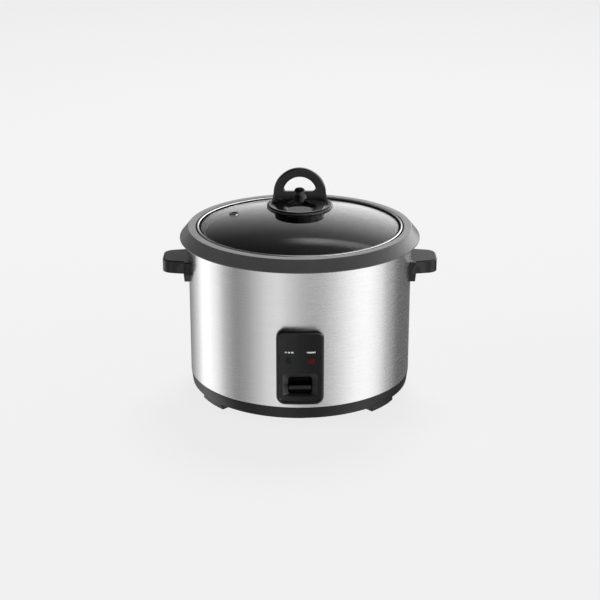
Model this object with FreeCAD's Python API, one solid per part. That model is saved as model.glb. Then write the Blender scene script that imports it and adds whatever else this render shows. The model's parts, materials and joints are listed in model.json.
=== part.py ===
"""A rice cooker with a magnetic thermostat: steel body, lift-out pot, glass lid and one cooking lever.

Millimetres, +Z up, front towards -Y. The origin is on the table, under the middle of the cooker.
"""
import FreeCAD, Part
import math
import os

from FreeCAD import Vector

# Outer shell
BODY_R = 132.0
BODY_WALL = 0.8
BODY_H = 164.0
BASE_TAPER = 2.0
BASE_H = 14.2
BASE_FLOOR = 2.5
BASE_WALL = 3.6
BASE_SLOT_HALF = 2.0
BASE_SLOT_HALF_LENGTH = 30.0
BASE_SLOT_PITCH = 9.0
BASE_SLOT_ROWS = 3
BASE_LOCATING_RIM = 3.8
SHELL_CLEARANCE = 0.2
FACE_CLEARANCE = 0.1
SCREW_CLEARANCE = 0.2

# Feet
FOOT_H = 6.5
FOOT_PAD_H = 1.5
FOOT_INSET = 10.0
FOOT_WIDTH = 12.0
FOOT_HALF_ANGLE = 9.0
FOOT_PAD_MARGIN = 2.5
FOOT_EDGE = 2.5
FOOT_ANGLES = {"foot_front_right": 50.0, "foot_front_left": -54.0, "foot_rear": 178.0}

# Collar round the top of the body
COLLAR_H = 14.2
COLLAR_FLAT = 9.1
COLLAR_FOLD_INSET = 0.1
COLLAR_SKIRT_SPREAD = 9.9
COLLAR_WALL = 2.8
COLLAR_SKIRT_LIFT = 1.0
COLLAR_SKIRT_LIP = 0.9
COLLAR_SEAT_RIB = 3.2
COLLAR_RIB_INSET = 0.8
COLLAR_LEDGE = 3.3
COLLAR_LEDGE_T = 2.0

# Liner, heating plate and pot
LINER_GAP = 5.8
LINER_SHEET = 0.7
LINER_FLOOR_Z = 44.0
LINER_HOLE_R = 22.0
LINER_CORNER = 4.0
PLATE_INSET = 17.0
PLATE_T = 10.0
PLATE_TOP_Z = 62.0
PLATE_HOLE_R = 24.0
PLATE_THREAD = 7.0
PLATE_LUG_R = 7.0
PLATE_LUG_INSET = 15.0
POT_GAP = 4.3
POT_WALL = 1.5
POT_RIM_BELOW_COLLAR = 8.4
POT_CORNER = 4.5
POT_RIM_WIDTH = 7.5
BAND_T = 2.0
BAND_H = 25.0
BAND_Z = 100.0

# Lid
GLASS_T = 4.0
GLASS_DOME_R = 601.0
GLASS_APEX_ABOVE_COLLAR = 10.3
GLASS_EDGE_COVER = 1.9
LID_GAP = 1.3
LID_RIM_WIDTH = 4.5
LID_RIM_ABOVE_GLASS = 1.9
LID_RIM_ROUND = 1.8
VENT_R = 4.5
VENT_WALL = 0.7
VENT_FLANGE_R = 5.9
VENT_FLANGE_T = 1.1
VENT_INSET = 33.0
VENT_ANGLE = 160.0

# Knob
KNOB_SEAT_R = 29.2
KNOB_SEAT_TOP_R = 30.4
KNOB_SEAT_H = 9.7
KNOB_FLANGE_R = 39.0
KNOB_FLANGE_T = 5.6
KNOB_FLANGE_ROUND = 2.4
KNOB_FLANGE_BAND = 5.0
KNOB_DISH = 1.0
HOOP_T = 7.5
HOOP_OUTER_R = 30.8
HOOP_HOLE_R = 19.5
HOOP_CENTRE_RISE = 12.4
HOOP_EYE_RISE = 1.0
HOOP_EYE_FLOOR = 2.7
HOOP_EYE_CORNER = 4.0
HOOP_FLARE = 34.2
HOOP_EDGE = 1.6
HOOP_ROOT = 1.5
PEDESTAL_SPREAD = 22.0
PEDESTAL_HOLLOW = 6.0
PEDESTAL_STEP = 4.0
POST_TOP_R = 6.2
POST_FOOT_R = 8.2
POST_LIP_R = 9.8
POST_RISE = 19.3
POST_BULGE_H = 3.6
POST_LIP_SPAN = (4.2, 6.0)
POST_WAIST_RISE = 13.0
POST_WAIST_SPREAD = 1.2
POST_WAIST_ROUND = 8.0
POST_CROWN_R = 5.6
KNOB_SCREW_R = 2.0
KNOB_SCREW_HEAD_R = 4.5
KNOB_SCREW_HEAD_H = 2.5
KNOB_WASHER_R = 12.0
KNOB_WASHER_T = 1.0

# Side handles
HANDLE_LENGTH = 30.5
HANDLE_TOP_DROP = 24.0
GRIP_H = 15.2
GRIP_ROOT_HALF = 29.0
GRIP_END_HALF = 19.5
GRIP_CORNER = 13.0
GRIP_WALL = 3.2
GRIP_EDGE = 1.5
HANDLE_PLATE_FACE = 4.5
HANDLE_PLATE_HALF = 30.0
HANDLE_PLATE_FOOT_HALF = 20.0
HANDLE_PLATE_H = 27.2
HANDLE_PLATE_ROUNDS = (6.0, 4.0, 1.5)
HANDLE_ROOT_INSET = 15.0
HANDLE_BORE_SKIN = 1.5
HANDLE_SCREW_SIDE = 17.0
HANDLE_SCREW_DROP = 9.0

# Control panel
PANEL_PROUD = 9.0
PANEL_WIDTH = 54.0
PANEL_H = 89.4
PANEL_CORNER = 9.5
PANEL_ABOVE_BODY_FOOT = 7.0
BEZEL_WIDTH = 3.3
BEZEL_RISE = 1.2
BEZEL_ROUND = 0.99
LAMP_R = 3.9
LAMP_SIDE = 12.4
LAMP_ABOVE_PANEL_FOOT = 53.6
LENS_PROUD = 1.0
LENS_LENGTH = 6.5
NEON_R = 2.8
NEON_LENGTH = 12.0
LAMP_HOLDER_HALF = 19.0
LAMP_HOLDER_H = 14.0
RECESS_MOUTH_HALF = 19.5
RECESS_THROAT_HALF = 13.4
RECESS_FOOT = 10.1
RECESS_MOUTH_H = 28.0
RECESS_THROAT_H = 21.8
RECESS_DEPTH = 7.0
RECESS_CORNER = 2.0
PANEL_SCREW_INSETS = (4.5, 16.0)
PANEL_SCREW_BITE = 4.5

# Cooking lever, its hinge and what it works
LEVER_T = 2.0
LEVER_WIDTH = 16.0
LEVER_Z = 33.0
LEVER_HINGE_Y = -50.0
LEVER_TAIL_Y = 8.0
LEVER_RISER_INSET = 6.2
LEVER_SLOT_HALF = 3.4
PADDLE_WIDTH = 24.5
PADDLE_T = 5.0
PADDLE_Z = 51.2
PADDLE_ROOT_INSET = 1.7
PADDLE_RECESSED = 0.2
PADDLE_EDGE = 1.2
TONGUE_IN_PADDLE = 6.0
SHUTTER_HALF = 15.5
SHUTTER_T = 1.0
SHUTTER_SPAN = (36.0, 66.0)
HINGE_PIN_R = 2.0
HINGE_BARREL_R = 4.0
HINGE_RUN = 0.05
HINGE_PIN_OVERHANG = 1.5
BRACKET_SHEET = 1.5
BRACKET_SIDE_GAP = 1.0
BRACKET_LENGTH = 16.0
BRACKET_BELOW_PIN = 4.5
SWITCH_Y = -85.0
SWITCH_SIZE = (20.0, 12.0, 16.0)
SWITCH_EDGE = 0.8
PLUNGER_R = 2.0
PLUNGER_RUN = 0.08
PLUNGER_GAP = 0.5
PLUNGER_LENGTH = 9.5
PLUNGER_WELL = 8.0

# Thermostat
CUP_R = 17.0
CUP_WALL = 0.8
CUP_TOP = 1.2
CUP_H = 15.7
CUP_EDGE = 1.0
CUP_BELOW_POT = 0.3
FERRITE_R = 9.0
FERRITE_T = 4.0
MAGNET_R = 9.0
MAGNET_T = 4.0
MAGNET_BELOW_FERRITE = 5.1
HOLDER_WALL = 1.0
HOLDER_FLOOR = 1.5
ROD_R = 2.0
ROD_RUN = 0.08
ROD_BELOW_LEVER = 5.0
ROD_COLLAR_R = 6.0
ROD_COLLAR_T = 1.2
ROD_COLLAR_GAP = 0.8
SENSOR_SPRING_R = 13.3
SPRING_WIRE = 1.4
ROD_SPRING_R = 4.6
GUIDE_R = 30.0
GUIDE_T = 2.5

# Electric pieces inside
TERMINAL_R = 3.5
TERMINAL_LENGTH = 22.0
TERMINAL_INSET = 20.0
TERMINAL_HOLE_R = 6.0
FUSE_R = 3.0
FUSE_LENGTH = 28.0
FUSE_Y = 45.0
FUSE_DROP = 6.0
CLIP_SHEET = 1.0
CLIP_WIDTH = 12.0
CLIP_GRIP = 1.5
BLOCK_SIZE = (32.0, 18.0, 13.5)
BLOCK_FROM_INLET = 37.0
INLET_Z = 34.0
INLET_HALF = 14.0
INLET_H = 18.0
INLET_LENGTH = 26.0
INLET_FLANGE = 4.0
INLET_FLANGE_T = 3.0
INLET_WALL = 2.0
INLET_DEPTH = 22.0
INLET_CORNER = 2.0
PIN_SIZE = (2.4, 6.0)
PIN_PITCH = 7.0
PIN_DROP = 2.0
PIN_EARTH_RISE = 2.5
PIN_STAND = 14.0
PIN_TAIL = 6.0
WIRE_R = 1.3
WIRE_BEND = 8.0
WIRE_LEAD = 7.0
WIRE_LANE = 16.0
WIRE_STEP = 4.0
WIRE_Z = 17.0

# Fasteners
POST_R = 4.0
POST_INSET = 15.0
POST_THREAD = 14.0
M4_R = 2.0
M4_HEAD_R = 3.6
M4_HEAD_H = 2.0
M3_R = 1.5
M3_HEAD_R = 2.8
M3_HEAD_H = 2.0

# Heights and places that follow from the sizes above
BASE_Z = FOOT_H + FOOT_PAD_H
BODY_Z = BASE_Z + BASE_H
BODY_TOP = BODY_Z + BODY_H
BODY_IN_R = BODY_R - BODY_WALL
FLOOR_TOP = BASE_Z + BASE_FLOOR
COLLAR_TOP = BODY_TOP + COLLAR_H
LEDGE_TOP = BODY_TOP + COLLAR_LEDGE_T
BASE_BOTTOM_R = BODY_R - BASE_TAPER
FOOT_MID_R = BODY_R - FOOT_INSET
COLLAR_FOLD_R = BODY_R - COLLAR_FOLD_INSET
COLLAR_MOUTH_R = COLLAR_FOLD_R - COLLAR_FLAT
COLLAR_SKIRT_R = COLLAR_FOLD_R + COLLAR_SKIRT_SPREAD
LEDGE_R = COLLAR_MOUTH_R - COLLAR_LEDGE
LINER_R = COLLAR_MOUTH_R - LINER_GAP
LINER_IN_R = LINER_R - LINER_SHEET
LINER_FLOOR_TOP = LINER_FLOOR_Z + LINER_SHEET
PLATE_Z = PLATE_TOP_Z - PLATE_T
POT_R = LINER_IN_R - POT_GAP
POT_TOP = COLLAR_TOP - POT_RIM_BELOW_COLLAR
PLATE_R = POT_R - PLATE_INSET
PLATE_LUG_PLACE = PLATE_R - PLATE_LUG_INSET
POST_PLACE = PLATE_R - POST_INSET
TERMINAL_SIDE = PLATE_R - TERMINAL_INSET
LID_RIM_R = COLLAR_MOUTH_R - LID_GAP
LID_RIM_INNER_R = LID_RIM_R - LID_RIM_WIDTH
GLASS_EDGE_R = LID_RIM_R - GLASS_EDGE_COVER
VENT_PLACE = LID_RIM_INNER_R - VENT_INSET
HANDLE_REACH = BODY_R + HANDLE_LENGTH
GLASS_APEX = COLLAR_TOP + GLASS_APEX_ABOVE_COLLAR
GLASS_CENTRE_Z = GLASS_APEX - GLASS_DOME_R
FLANGE_Z = GLASS_APEX + KNOB_SEAT_H
FLANGE_TOP = FLANGE_Z + KNOB_FLANGE_T
HOOP_Z = FLANGE_TOP + HOOP_CENTRE_RISE
PANEL_R = BODY_R + PANEL_PROUD
PANEL_Z = BODY_Z + PANEL_ABOVE_BODY_FOOT
PANEL_FACE_R = PANEL_R - BEZEL_RISE
LAMP_Z = PANEL_Z + LAMP_ABOVE_PANEL_FOOT
RECESS_Z = PANEL_Z + RECESS_FOOT
HANDLE_TOP = BODY_TOP - HANDLE_TOP_DROP
HANDLE_SCREW_Z = HANDLE_TOP - HANDLE_SCREW_DROP
CUP_TOP_Z = PLATE_TOP_Z - CUP_BELOW_POT
FERRITE_Z = CUP_TOP_Z - CUP_TOP - FERRITE_T
MAGNET_Z = FERRITE_Z - MAGNET_BELOW_FERRITE - MAGNET_T
LEVER_TOP = LEVER_Z + LEVER_T / 2
LEVER_BOTTOM = LEVER_Z - LEVER_T / 2
LEVER_RISER_Y = -(BODY_IN_R - LEVER_RISER_INSET)
PADDLE_INNER_Y = -(BODY_IN_R - PADDLE_ROOT_INSET)
INLET_INNER_Y = BODY_R - INLET_LENGTH
BLOCK_Y = INLET_INNER_Y - BLOCK_FROM_INLET
GUIDE_Z = LINER_FLOOR_Z - GUIDE_T
SWITCH_TOP = FLOOR_TOP + SWITCH_SIZE[2]
POST_SPOTS = [(a, POST_PLACE) for a in (45.0, 135.0, 225.0, 315.0)]
LUG_SPOTS = [(a, PLATE_LUG_PLACE) for a in (30.0, 150.0, 270.0)]

UP = Vector(0, 0, 1)
AXIS = Vector(0, 0, 0)
FAR = 400.0


def box(x, y, z):
    """A block between the pairs of limits x, y and z."""
    return Part.makeBox(x[1] - x[0], y[1] - y[0], z[1] - z[0], Vector(x[0], y[0], z[0]))


def rod(radius, start, end):
    """A round bar from the point start to the point end."""
    way = Vector(*end) - Vector(*start)
    return Part.makeCylinder(radius, way.Length, Vector(*start), way)


def ring(inner, outer, low, high):
    """A flat-ended tube about the cooker's axis."""
    tube = rod(outer, (0, 0, low), (0, 0, high))
    if inner > 0:
        tube = tube.cut(rod(inner, (0, 0, low - 1), (0, 0, high + 1)))
    return tube


def outline(corners, place):
    """A closed wire through corners (a, b) or (a, b, radius), with an arc at each rounded corner.

    place turns a plane point (a, b) into a point in space.
    """
    count = len(corners)
    starts = []
    ends = []
    arcs = []
    for i, corner in enumerate(corners):
        here = Vector(corner[0], corner[1], 0)
        radius = corner[2] if len(corner) > 2 else 0.0
        back = Vector(corners[i - 1][0], corners[i - 1][1], 0) - here
        ahead = Vector(corners[(i + 1) % count][0], corners[(i + 1) % count][1], 0) - here
        if radius <= 0:
            starts.append(here)
            ends.append(here)
            arcs.append(None)
            continue
        back.normalize()
        ahead.normalize()
        half = back.getAngle(ahead) / 2
        reach = radius / math.tan(half)
        middle = back + ahead
        middle.normalize()
        starts.append(here + back * reach)
        ends.append(here + ahead * reach)
        arcs.append(here + middle * (radius / math.sin(half) - radius))
    edges = []
    for i in range(count):
        if arcs[i] is not None:
            three = [place(p.x, p.y) for p in (starts[i], arcs[i], ends[i])]
            edges.append(Part.Arc(*three).toShape())
        nxt = (i + 1) % count
        if (starts[nxt] - ends[i]).Length > 1e-6:
            line = Part.LineSegment(place(ends[i].x, ends[i].y), place(starts[nxt].x, starts[nxt].y))
            edges.append(line.toShape())
    return Part.Wire(Part.__sortEdges__(edges))


def turned(corners, sweep=360.0):
    """A solid of revolution about Z from corners (radius, height, rounding)."""
    face = Part.Face(outline(corners, lambda r, z: Vector(r, 0, z)))
    return face.revolve(AXIS, UP, sweep)


def plan_block(corners, low, high):
    """A block with an outline given in plan, between two heights."""
    face = Part.Face(outline(corners, lambda x, y: Vector(x, y, low)))
    return face.extrude(Vector(0, 0, high - low))


def front_block(corners, y0, y1):
    """A block with an outline (x, z) seen from the front, between two depths."""
    face = Part.Face(outline(corners, lambda x, z: Vector(x, y0, z)))
    return face.extrude(Vector(0, y1 - y0, 0))


def rounded_rectangle(half, low, high, radius):
    return [(-half, low, radius), (half, low, radius), (half, high, radius), (-half, high, radius)]


def spot(angle, radius, z):
    """The point at an angle in degrees from +X, counter-clockwise, and a radius."""
    turn = math.radians(angle)
    return (radius * math.cos(turn), radius * math.sin(turn), z)


def dome(drop, radius):
    """The part of the ball under the lid's top surface, sunk by drop, within a radius of the axis."""
    ball = Part.makeSphere(GLASS_DOME_R - drop, Vector(0, 0, GLASS_CENTRE_Z))
    return ball.common(rod(radius, (0, 0, BODY_Z), (0, 0, FLANGE_Z)))


def screw(place, way, shank_r, length, head_r, head_h):
    """A pan head screw whose head bears at place and whose shank goes along way."""
    place = Vector(*place)
    way = Vector(*way)
    head = Part.makeCylinder(head_r, head_h, place - way * head_h, way)
    shank = Part.makeCylinder(shank_r, length, place, way)
    return head.fuse(shank).removeSplitter()


def soften(shape, radius, chosen):
    """Round the edges that chosen picks."""
    edges = [edge for edge in shape.Edges if chosen(edge)]
    return shape.makeFillet(radius, edges)


def save(name, *solids):
    """Write one node, a solid or a group of separate solids."""
    shape = solids[0] if len(solids) == 1 else Part.makeCompound(list(solids))
    if shape.ShapeType != "Solid" and len(solids) == 1 and len(shape.Solids) == 1:
        shape = shape.Solids[0]
    if not shape.isValid():
        print("not valid:", name)
    shape.exportStep("parts/" + name + ".step")
    print(f"{name:22s} solids {len(shape.Solids)}  volume {shape.Volume:10.0f}")


def make_outer_body():
    """Rolled steel tube with the openings for the lever, the lamps, the inlet and the screws."""
    body = ring(BODY_IN_R, BODY_R, BODY_Z, BODY_TOP)
    slot = (RECESS_Z, RECESS_Z + RECESS_THROAT_H)
    body = body.cut(box((-RECESS_THROAT_HALF, RECESS_THROAT_HALF), (-FAR, 0), slot))
    for side in (-1, 1):
        lamp_x = side * LAMP_SIDE
        body = body.cut(rod(LAMP_R + SHELL_CLEARANCE, (lamp_x, -FAR, LAMP_Z), (lamp_x, 0, LAMP_Z)))
    inlet_half = INLET_HALF + SHELL_CLEARANCE
    inlet_z = (INLET_Z - INLET_H / 2 - SHELL_CLEARANCE, INLET_Z + INLET_H / 2 + SHELL_CLEARANCE)
    body = body.cut(box((-inlet_half, inlet_half), (0, FAR), inlet_z))
    for x, y, z in panel_screw_spots():
        body = body.cut(rod(M3_R + SCREW_CLEARANCE, (x, -FAR, z), (x, 0, z)))
    for side in (-1, 1):
        for y in (-HANDLE_SCREW_SIDE, HANDLE_SCREW_SIDE):
            start = (0, y, HANDLE_SCREW_Z)
            body = body.cut(rod(M4_R + SCREW_CLEARANCE, start, (side * FAR, y, HANDLE_SCREW_Z)))
    save("outer_body", body)


def make_base_tray():
    """Moulded base with a rim that centres the body, cooling slots and screw holes."""
    rim_r = BODY_IN_R - SHELL_CLEARANCE
    inner_r = rim_r - BASE_WALL
    rim_top = BODY_Z + BASE_LOCATING_RIM
    tray = turned([(0, BASE_Z), (BASE_BOTTOM_R, BASE_Z, 1.5), (BODY_R, BODY_Z, 0.4), (rim_r, BODY_Z),
                   (rim_r, rim_top, 0.5), (inner_r, rim_top, 0.5), (inner_r, FLOOR_TOP, 1.5), (0, FLOOR_TOP)])
    notch_half = INLET_HALF + SHELL_CLEARANCE
    notch_y = (INLET_INNER_Y, rim_r + SHELL_CLEARANCE / 4)
    tray = tray.cut(box((-notch_half, notch_half), notch_y, (BODY_Z, rim_top + 1)))
    for angle, radius in POST_SPOTS:
        tray = tray.cut(rod(M4_R + SCREW_CLEARANCE, spot(angle, radius, 0), spot(angle, radius, BODY_Z)))
    slot_y = (-BASE_SLOT_HALF_LENGTH, BASE_SLOT_HALF_LENGTH)
    for row in range(-BASE_SLOT_ROWS, BASE_SLOT_ROWS + 1):
        x = row * BASE_SLOT_PITCH
        tray = tray.cut(box((x - BASE_SLOT_HALF, x + BASE_SLOT_HALF), slot_y, (BASE_Z - 1, FLOOR_TOP + 1)))
    save("base_tray", tray)


def make_feet():
    """Three arc-shaped feet under the rim, each with a rubber pad let against its sole."""
    pads = []
    inner = FOOT_MID_R - FOOT_WIDTH / 2
    outer = FOOT_MID_R + FOOT_WIDTH / 2
    for name, from_front in FOOT_ANGLES.items():
        start = from_front - 90.0 - FOOT_HALF_ANGLE
        foot = turned([(inner, FOOT_PAD_H, FOOT_EDGE), (outer, FOOT_PAD_H, FOOT_EDGE), (outer, BASE_Z),
                       (inner, BASE_Z)], 2 * FOOT_HALF_ANGLE)
        foot.rotate(AXIS, UP, start)
        save(name, foot)
        margin_angle = math.degrees(FOOT_PAD_MARGIN / FOOT_MID_R)
        pad = turned([(inner + FOOT_PAD_MARGIN, 0, 0.4), (outer - FOOT_PAD_MARGIN, 0, 0.4),
                      (outer - FOOT_PAD_MARGIN, FOOT_PAD_H), (inner + FOOT_PAD_MARGIN, FOOT_PAD_H)],
                     2 * (FOOT_HALF_ANGLE - margin_angle))
        pad.rotate(AXIS, UP, start + margin_angle)
        pads.append(pad)
    save("foot_pads", *pads)


def make_top_collar():
    """Moulded collar: flat top, conical skirt, a rib that stands on the body and a ledge for the liner."""
    skirt_z = BODY_TOP + COLLAR_SKIRT_LIFT
    rib_in = BODY_IN_R - COLLAR_RIB_INSET
    rib_out = rib_in + COLLAR_SEAT_RIB
    wall = COLLAR_WALL
    collar = turned([
        (COLLAR_MOUTH_R, COLLAR_TOP, 0.8), (COLLAR_FOLD_R, COLLAR_TOP, 1.6),
        (COLLAR_SKIRT_R, skirt_z + COLLAR_SKIRT_LIP, 0.4), (COLLAR_SKIRT_R, skirt_z),
        (COLLAR_SKIRT_R - wall, skirt_z), (rib_out, COLLAR_TOP - 2 * wall), (rib_out, BODY_TOP),
        (rib_in, BODY_TOP), (rib_in, COLLAR_TOP - wall), (COLLAR_MOUTH_R + wall, COLLAR_TOP - wall),
        (COLLAR_MOUTH_R + wall, BODY_TOP), (LEDGE_R, BODY_TOP), (LEDGE_R, LEDGE_TOP),
        (COLLAR_MOUTH_R, LEDGE_TOP)])
    save("top_collar", collar)


def make_liner():
    """Pressed sheet liner that hangs from the collar's ledge and carries the heater and the thermostat."""
    flange_r = COLLAR_MOUTH_R - SHELL_CLEARANCE
    flange_top = LEDGE_TOP + LINER_SHEET
    liner = turned([
        (LINER_HOLE_R, LINER_FLOOR_Z), (LINER_R, LINER_FLOOR_Z, LINER_CORNER), (LINER_R, LEDGE_TOP),
        (flange_r, LEDGE_TOP), (flange_r, flange_top), (LINER_IN_R, flange_top, 1.2),
        (LINER_IN_R, LINER_FLOOR_TOP, LINER_CORNER - LINER_SHEET), (LINER_HOLE_R, LINER_FLOOR_TOP)])
    for side in (-1, 1):
        x = side * TERMINAL_SIDE
        liner = liner.cut(rod(TERMINAL_HOLE_R, (x, 0, LINER_FLOOR_Z - 1), (x, 0, PLATE_Z)))
    for angle, radius in LUG_SPOTS:
        low = spot(angle, radius, LINER_FLOOR_Z - 1)
        liner = liner.cut(rod(M4_R + SCREW_CLEARANCE, low, spot(angle, radius, PLATE_Z)))
    for x, y in bracket_screw_spots():
        liner = liner.cut(rod(M3_R + SCREW_CLEARANCE, (x, y, LINER_FLOOR_Z - 1), (x, y, PLATE_Z)))
    save("inner_liner", liner)
    gap = FACE_CLEARANCE
    save("keep_warm_band", ring(LINER_R + gap, LINER_R + gap + BAND_T, BAND_Z, BAND_Z + BAND_H))


def make_heater():
    """Cast plate on three lugs, with the two ends of its heating element and its screws."""
    plate = turned([(PLATE_HOLE_R, PLATE_Z), (PLATE_R, PLATE_Z, 2.0), (PLATE_R, PLATE_TOP_Z, 3.0),
                    (PLATE_HOLE_R, PLATE_TOP_Z, 1.0)])
    screws = []
    for angle, radius in LUG_SPOTS:
        foot = spot(angle, radius, LINER_FLOOR_TOP)
        plate = plate.fuse(rod(PLATE_LUG_R, foot, spot(angle, radius, PLATE_Z + 1)))
        top = spot(angle, radius, PLATE_Z + PLATE_THREAD)
        plate = plate.cut(rod(M4_R + FACE_CLEARANCE, spot(angle, radius, LINER_FLOOR_Z), top))
        length = PLATE_Z + PLATE_THREAD - LINER_FLOOR_Z - 1
        bearing = spot(angle, radius, LINER_FLOOR_Z)
        screws.append(screw(bearing, (0, 0, 1), M4_R, length, M4_HEAD_R, M4_HEAD_H))
    save("heating_plate", plate.removeSplitter())
    save("heater_screws", *screws)
    low = PLATE_Z - TERMINAL_LENGTH
    ends = [rod(TERMINAL_R, (x, 0, low), (x, 0, PLATE_Z)) for x in (-TERMINAL_SIDE, TERMINAL_SIDE)]
    save("heater_terminals", *ends)


def make_pot():
    """Drawn pot with rounded foot and a flat rim turned outwards."""
    rim_r = POT_R + POT_RIM_WIDTH
    inner_r = POT_R - POT_WALL
    floor = PLATE_TOP_Z + POT_WALL
    edge = POT_WALL * 0.45
    pot = turned([
        (0, PLATE_TOP_Z), (POT_R, PLATE_TOP_Z, POT_CORNER), (POT_R, POT_TOP - POT_WALL, 1.0),
        (rim_r, POT_TOP - POT_WALL, edge), (rim_r, POT_TOP, edge), (inner_r, POT_TOP, 1.0 + POT_WALL),
        (inner_r, floor, POT_CORNER - POT_WALL), (0, floor)])
    save("inner_pot", pot)


def vent_axis():
    """The middle of the vent on the dome's top surface, and the surface's normal there."""
    x, y, z = spot(VENT_ANGLE, VENT_PLACE, 0)
    z = GLASS_CENTRE_Z + math.sqrt(GLASS_DOME_R ** 2 - VENT_PLACE ** 2)
    normal = Vector(x, y, z - GLASS_CENTRE_Z)
    normal.normalize()
    return Vector(x, y, z), normal


def make_lid():
    """Domed glass in a rolled rim, with the vent's grommet."""
    glass = dome(0, GLASS_EDGE_R).cut(dome(GLASS_T, GLASS_EDGE_R + 1))
    place, normal = vent_axis()
    bore = VENT_R + FACE_CLEARANCE
    glass = glass.cut(Part.makeCylinder(bore, 4 * GLASS_T, place - normal * (2 * GLASS_T), normal))
    glass = glass.cut(rod(KNOB_SCREW_R + SCREW_CLEARANCE, (0, 0, POT_TOP), (0, 0, FLANGE_Z)))
    save("lid_glass", glass)

    edge_drop = GLASS_DOME_R - math.sqrt(GLASS_DOME_R ** 2 - LID_RIM_INNER_R ** 2)
    rim_top = GLASS_APEX - edge_drop + LID_RIM_ABOVE_GLASS
    rim = turned([(LID_RIM_INNER_R, POT_TOP, 0.5), (LID_RIM_R, POT_TOP, 0.8),
                  (LID_RIM_R, rim_top, LID_RIM_ROUND), (LID_RIM_INNER_R, rim_top, LID_RIM_ROUND)])
    seat = dome(-FACE_CLEARANCE, GLASS_EDGE_R + FACE_CLEARANCE)
    seat = seat.cut(dome(GLASS_T + FACE_CLEARANCE, GLASS_EDGE_R + 1))
    save("lid_rim", rim.cut(seat))

    sleeve_low = place - normal * (GLASS_T + VENT_FLANGE_T + FACE_CLEARANCE)
    sleeve_length = GLASS_T + 2 * VENT_FLANGE_T + 2 * FACE_CLEARANCE
    grommet = Part.makeCylinder(VENT_R, sleeve_length, sleeve_low, normal)
    for low in (sleeve_low, sleeve_low + normal * (sleeve_length - VENT_FLANGE_T)):
        flange = Part.makeCylinder(VENT_FLANGE_R, VENT_FLANGE_T, low, normal)
        grommet = grommet.fuse(flange.makeFillet(0.4, flange.Edges[:1]))
    hole = Part.makeCylinder(VENT_R - VENT_WALL, 4 * GLASS_T, place - normal * (2 * GLASS_T), normal)
    save("steam_grommet", grommet.cut(hole).removeSplitter())


def knob_post_profile(grow=0.0):
    """The bell-shaped post: a bulge on the flange, a lip, then a bell that narrows to a round top."""
    top = FLANGE_TOP + POST_RISE
    low = FLANGE_TOP - KNOB_DISH
    foot_r = POST_FOOT_R + grow
    lip_r = POST_LIP_R + grow
    crown_r = POST_TOP_R + grow
    return turned([
        (0, low - grow), (foot_r, low - grow), (foot_r, low + POST_BULGE_H),
        (lip_r, low + POST_LIP_SPAN[0], 0.5), (lip_r, low + POST_LIP_SPAN[1], 0.5),
        (crown_r + POST_WAIST_SPREAD, low + POST_WAIST_RISE, POST_WAIST_ROUND),
        (crown_r, top, POST_CROWN_R), (0, top)])


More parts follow.
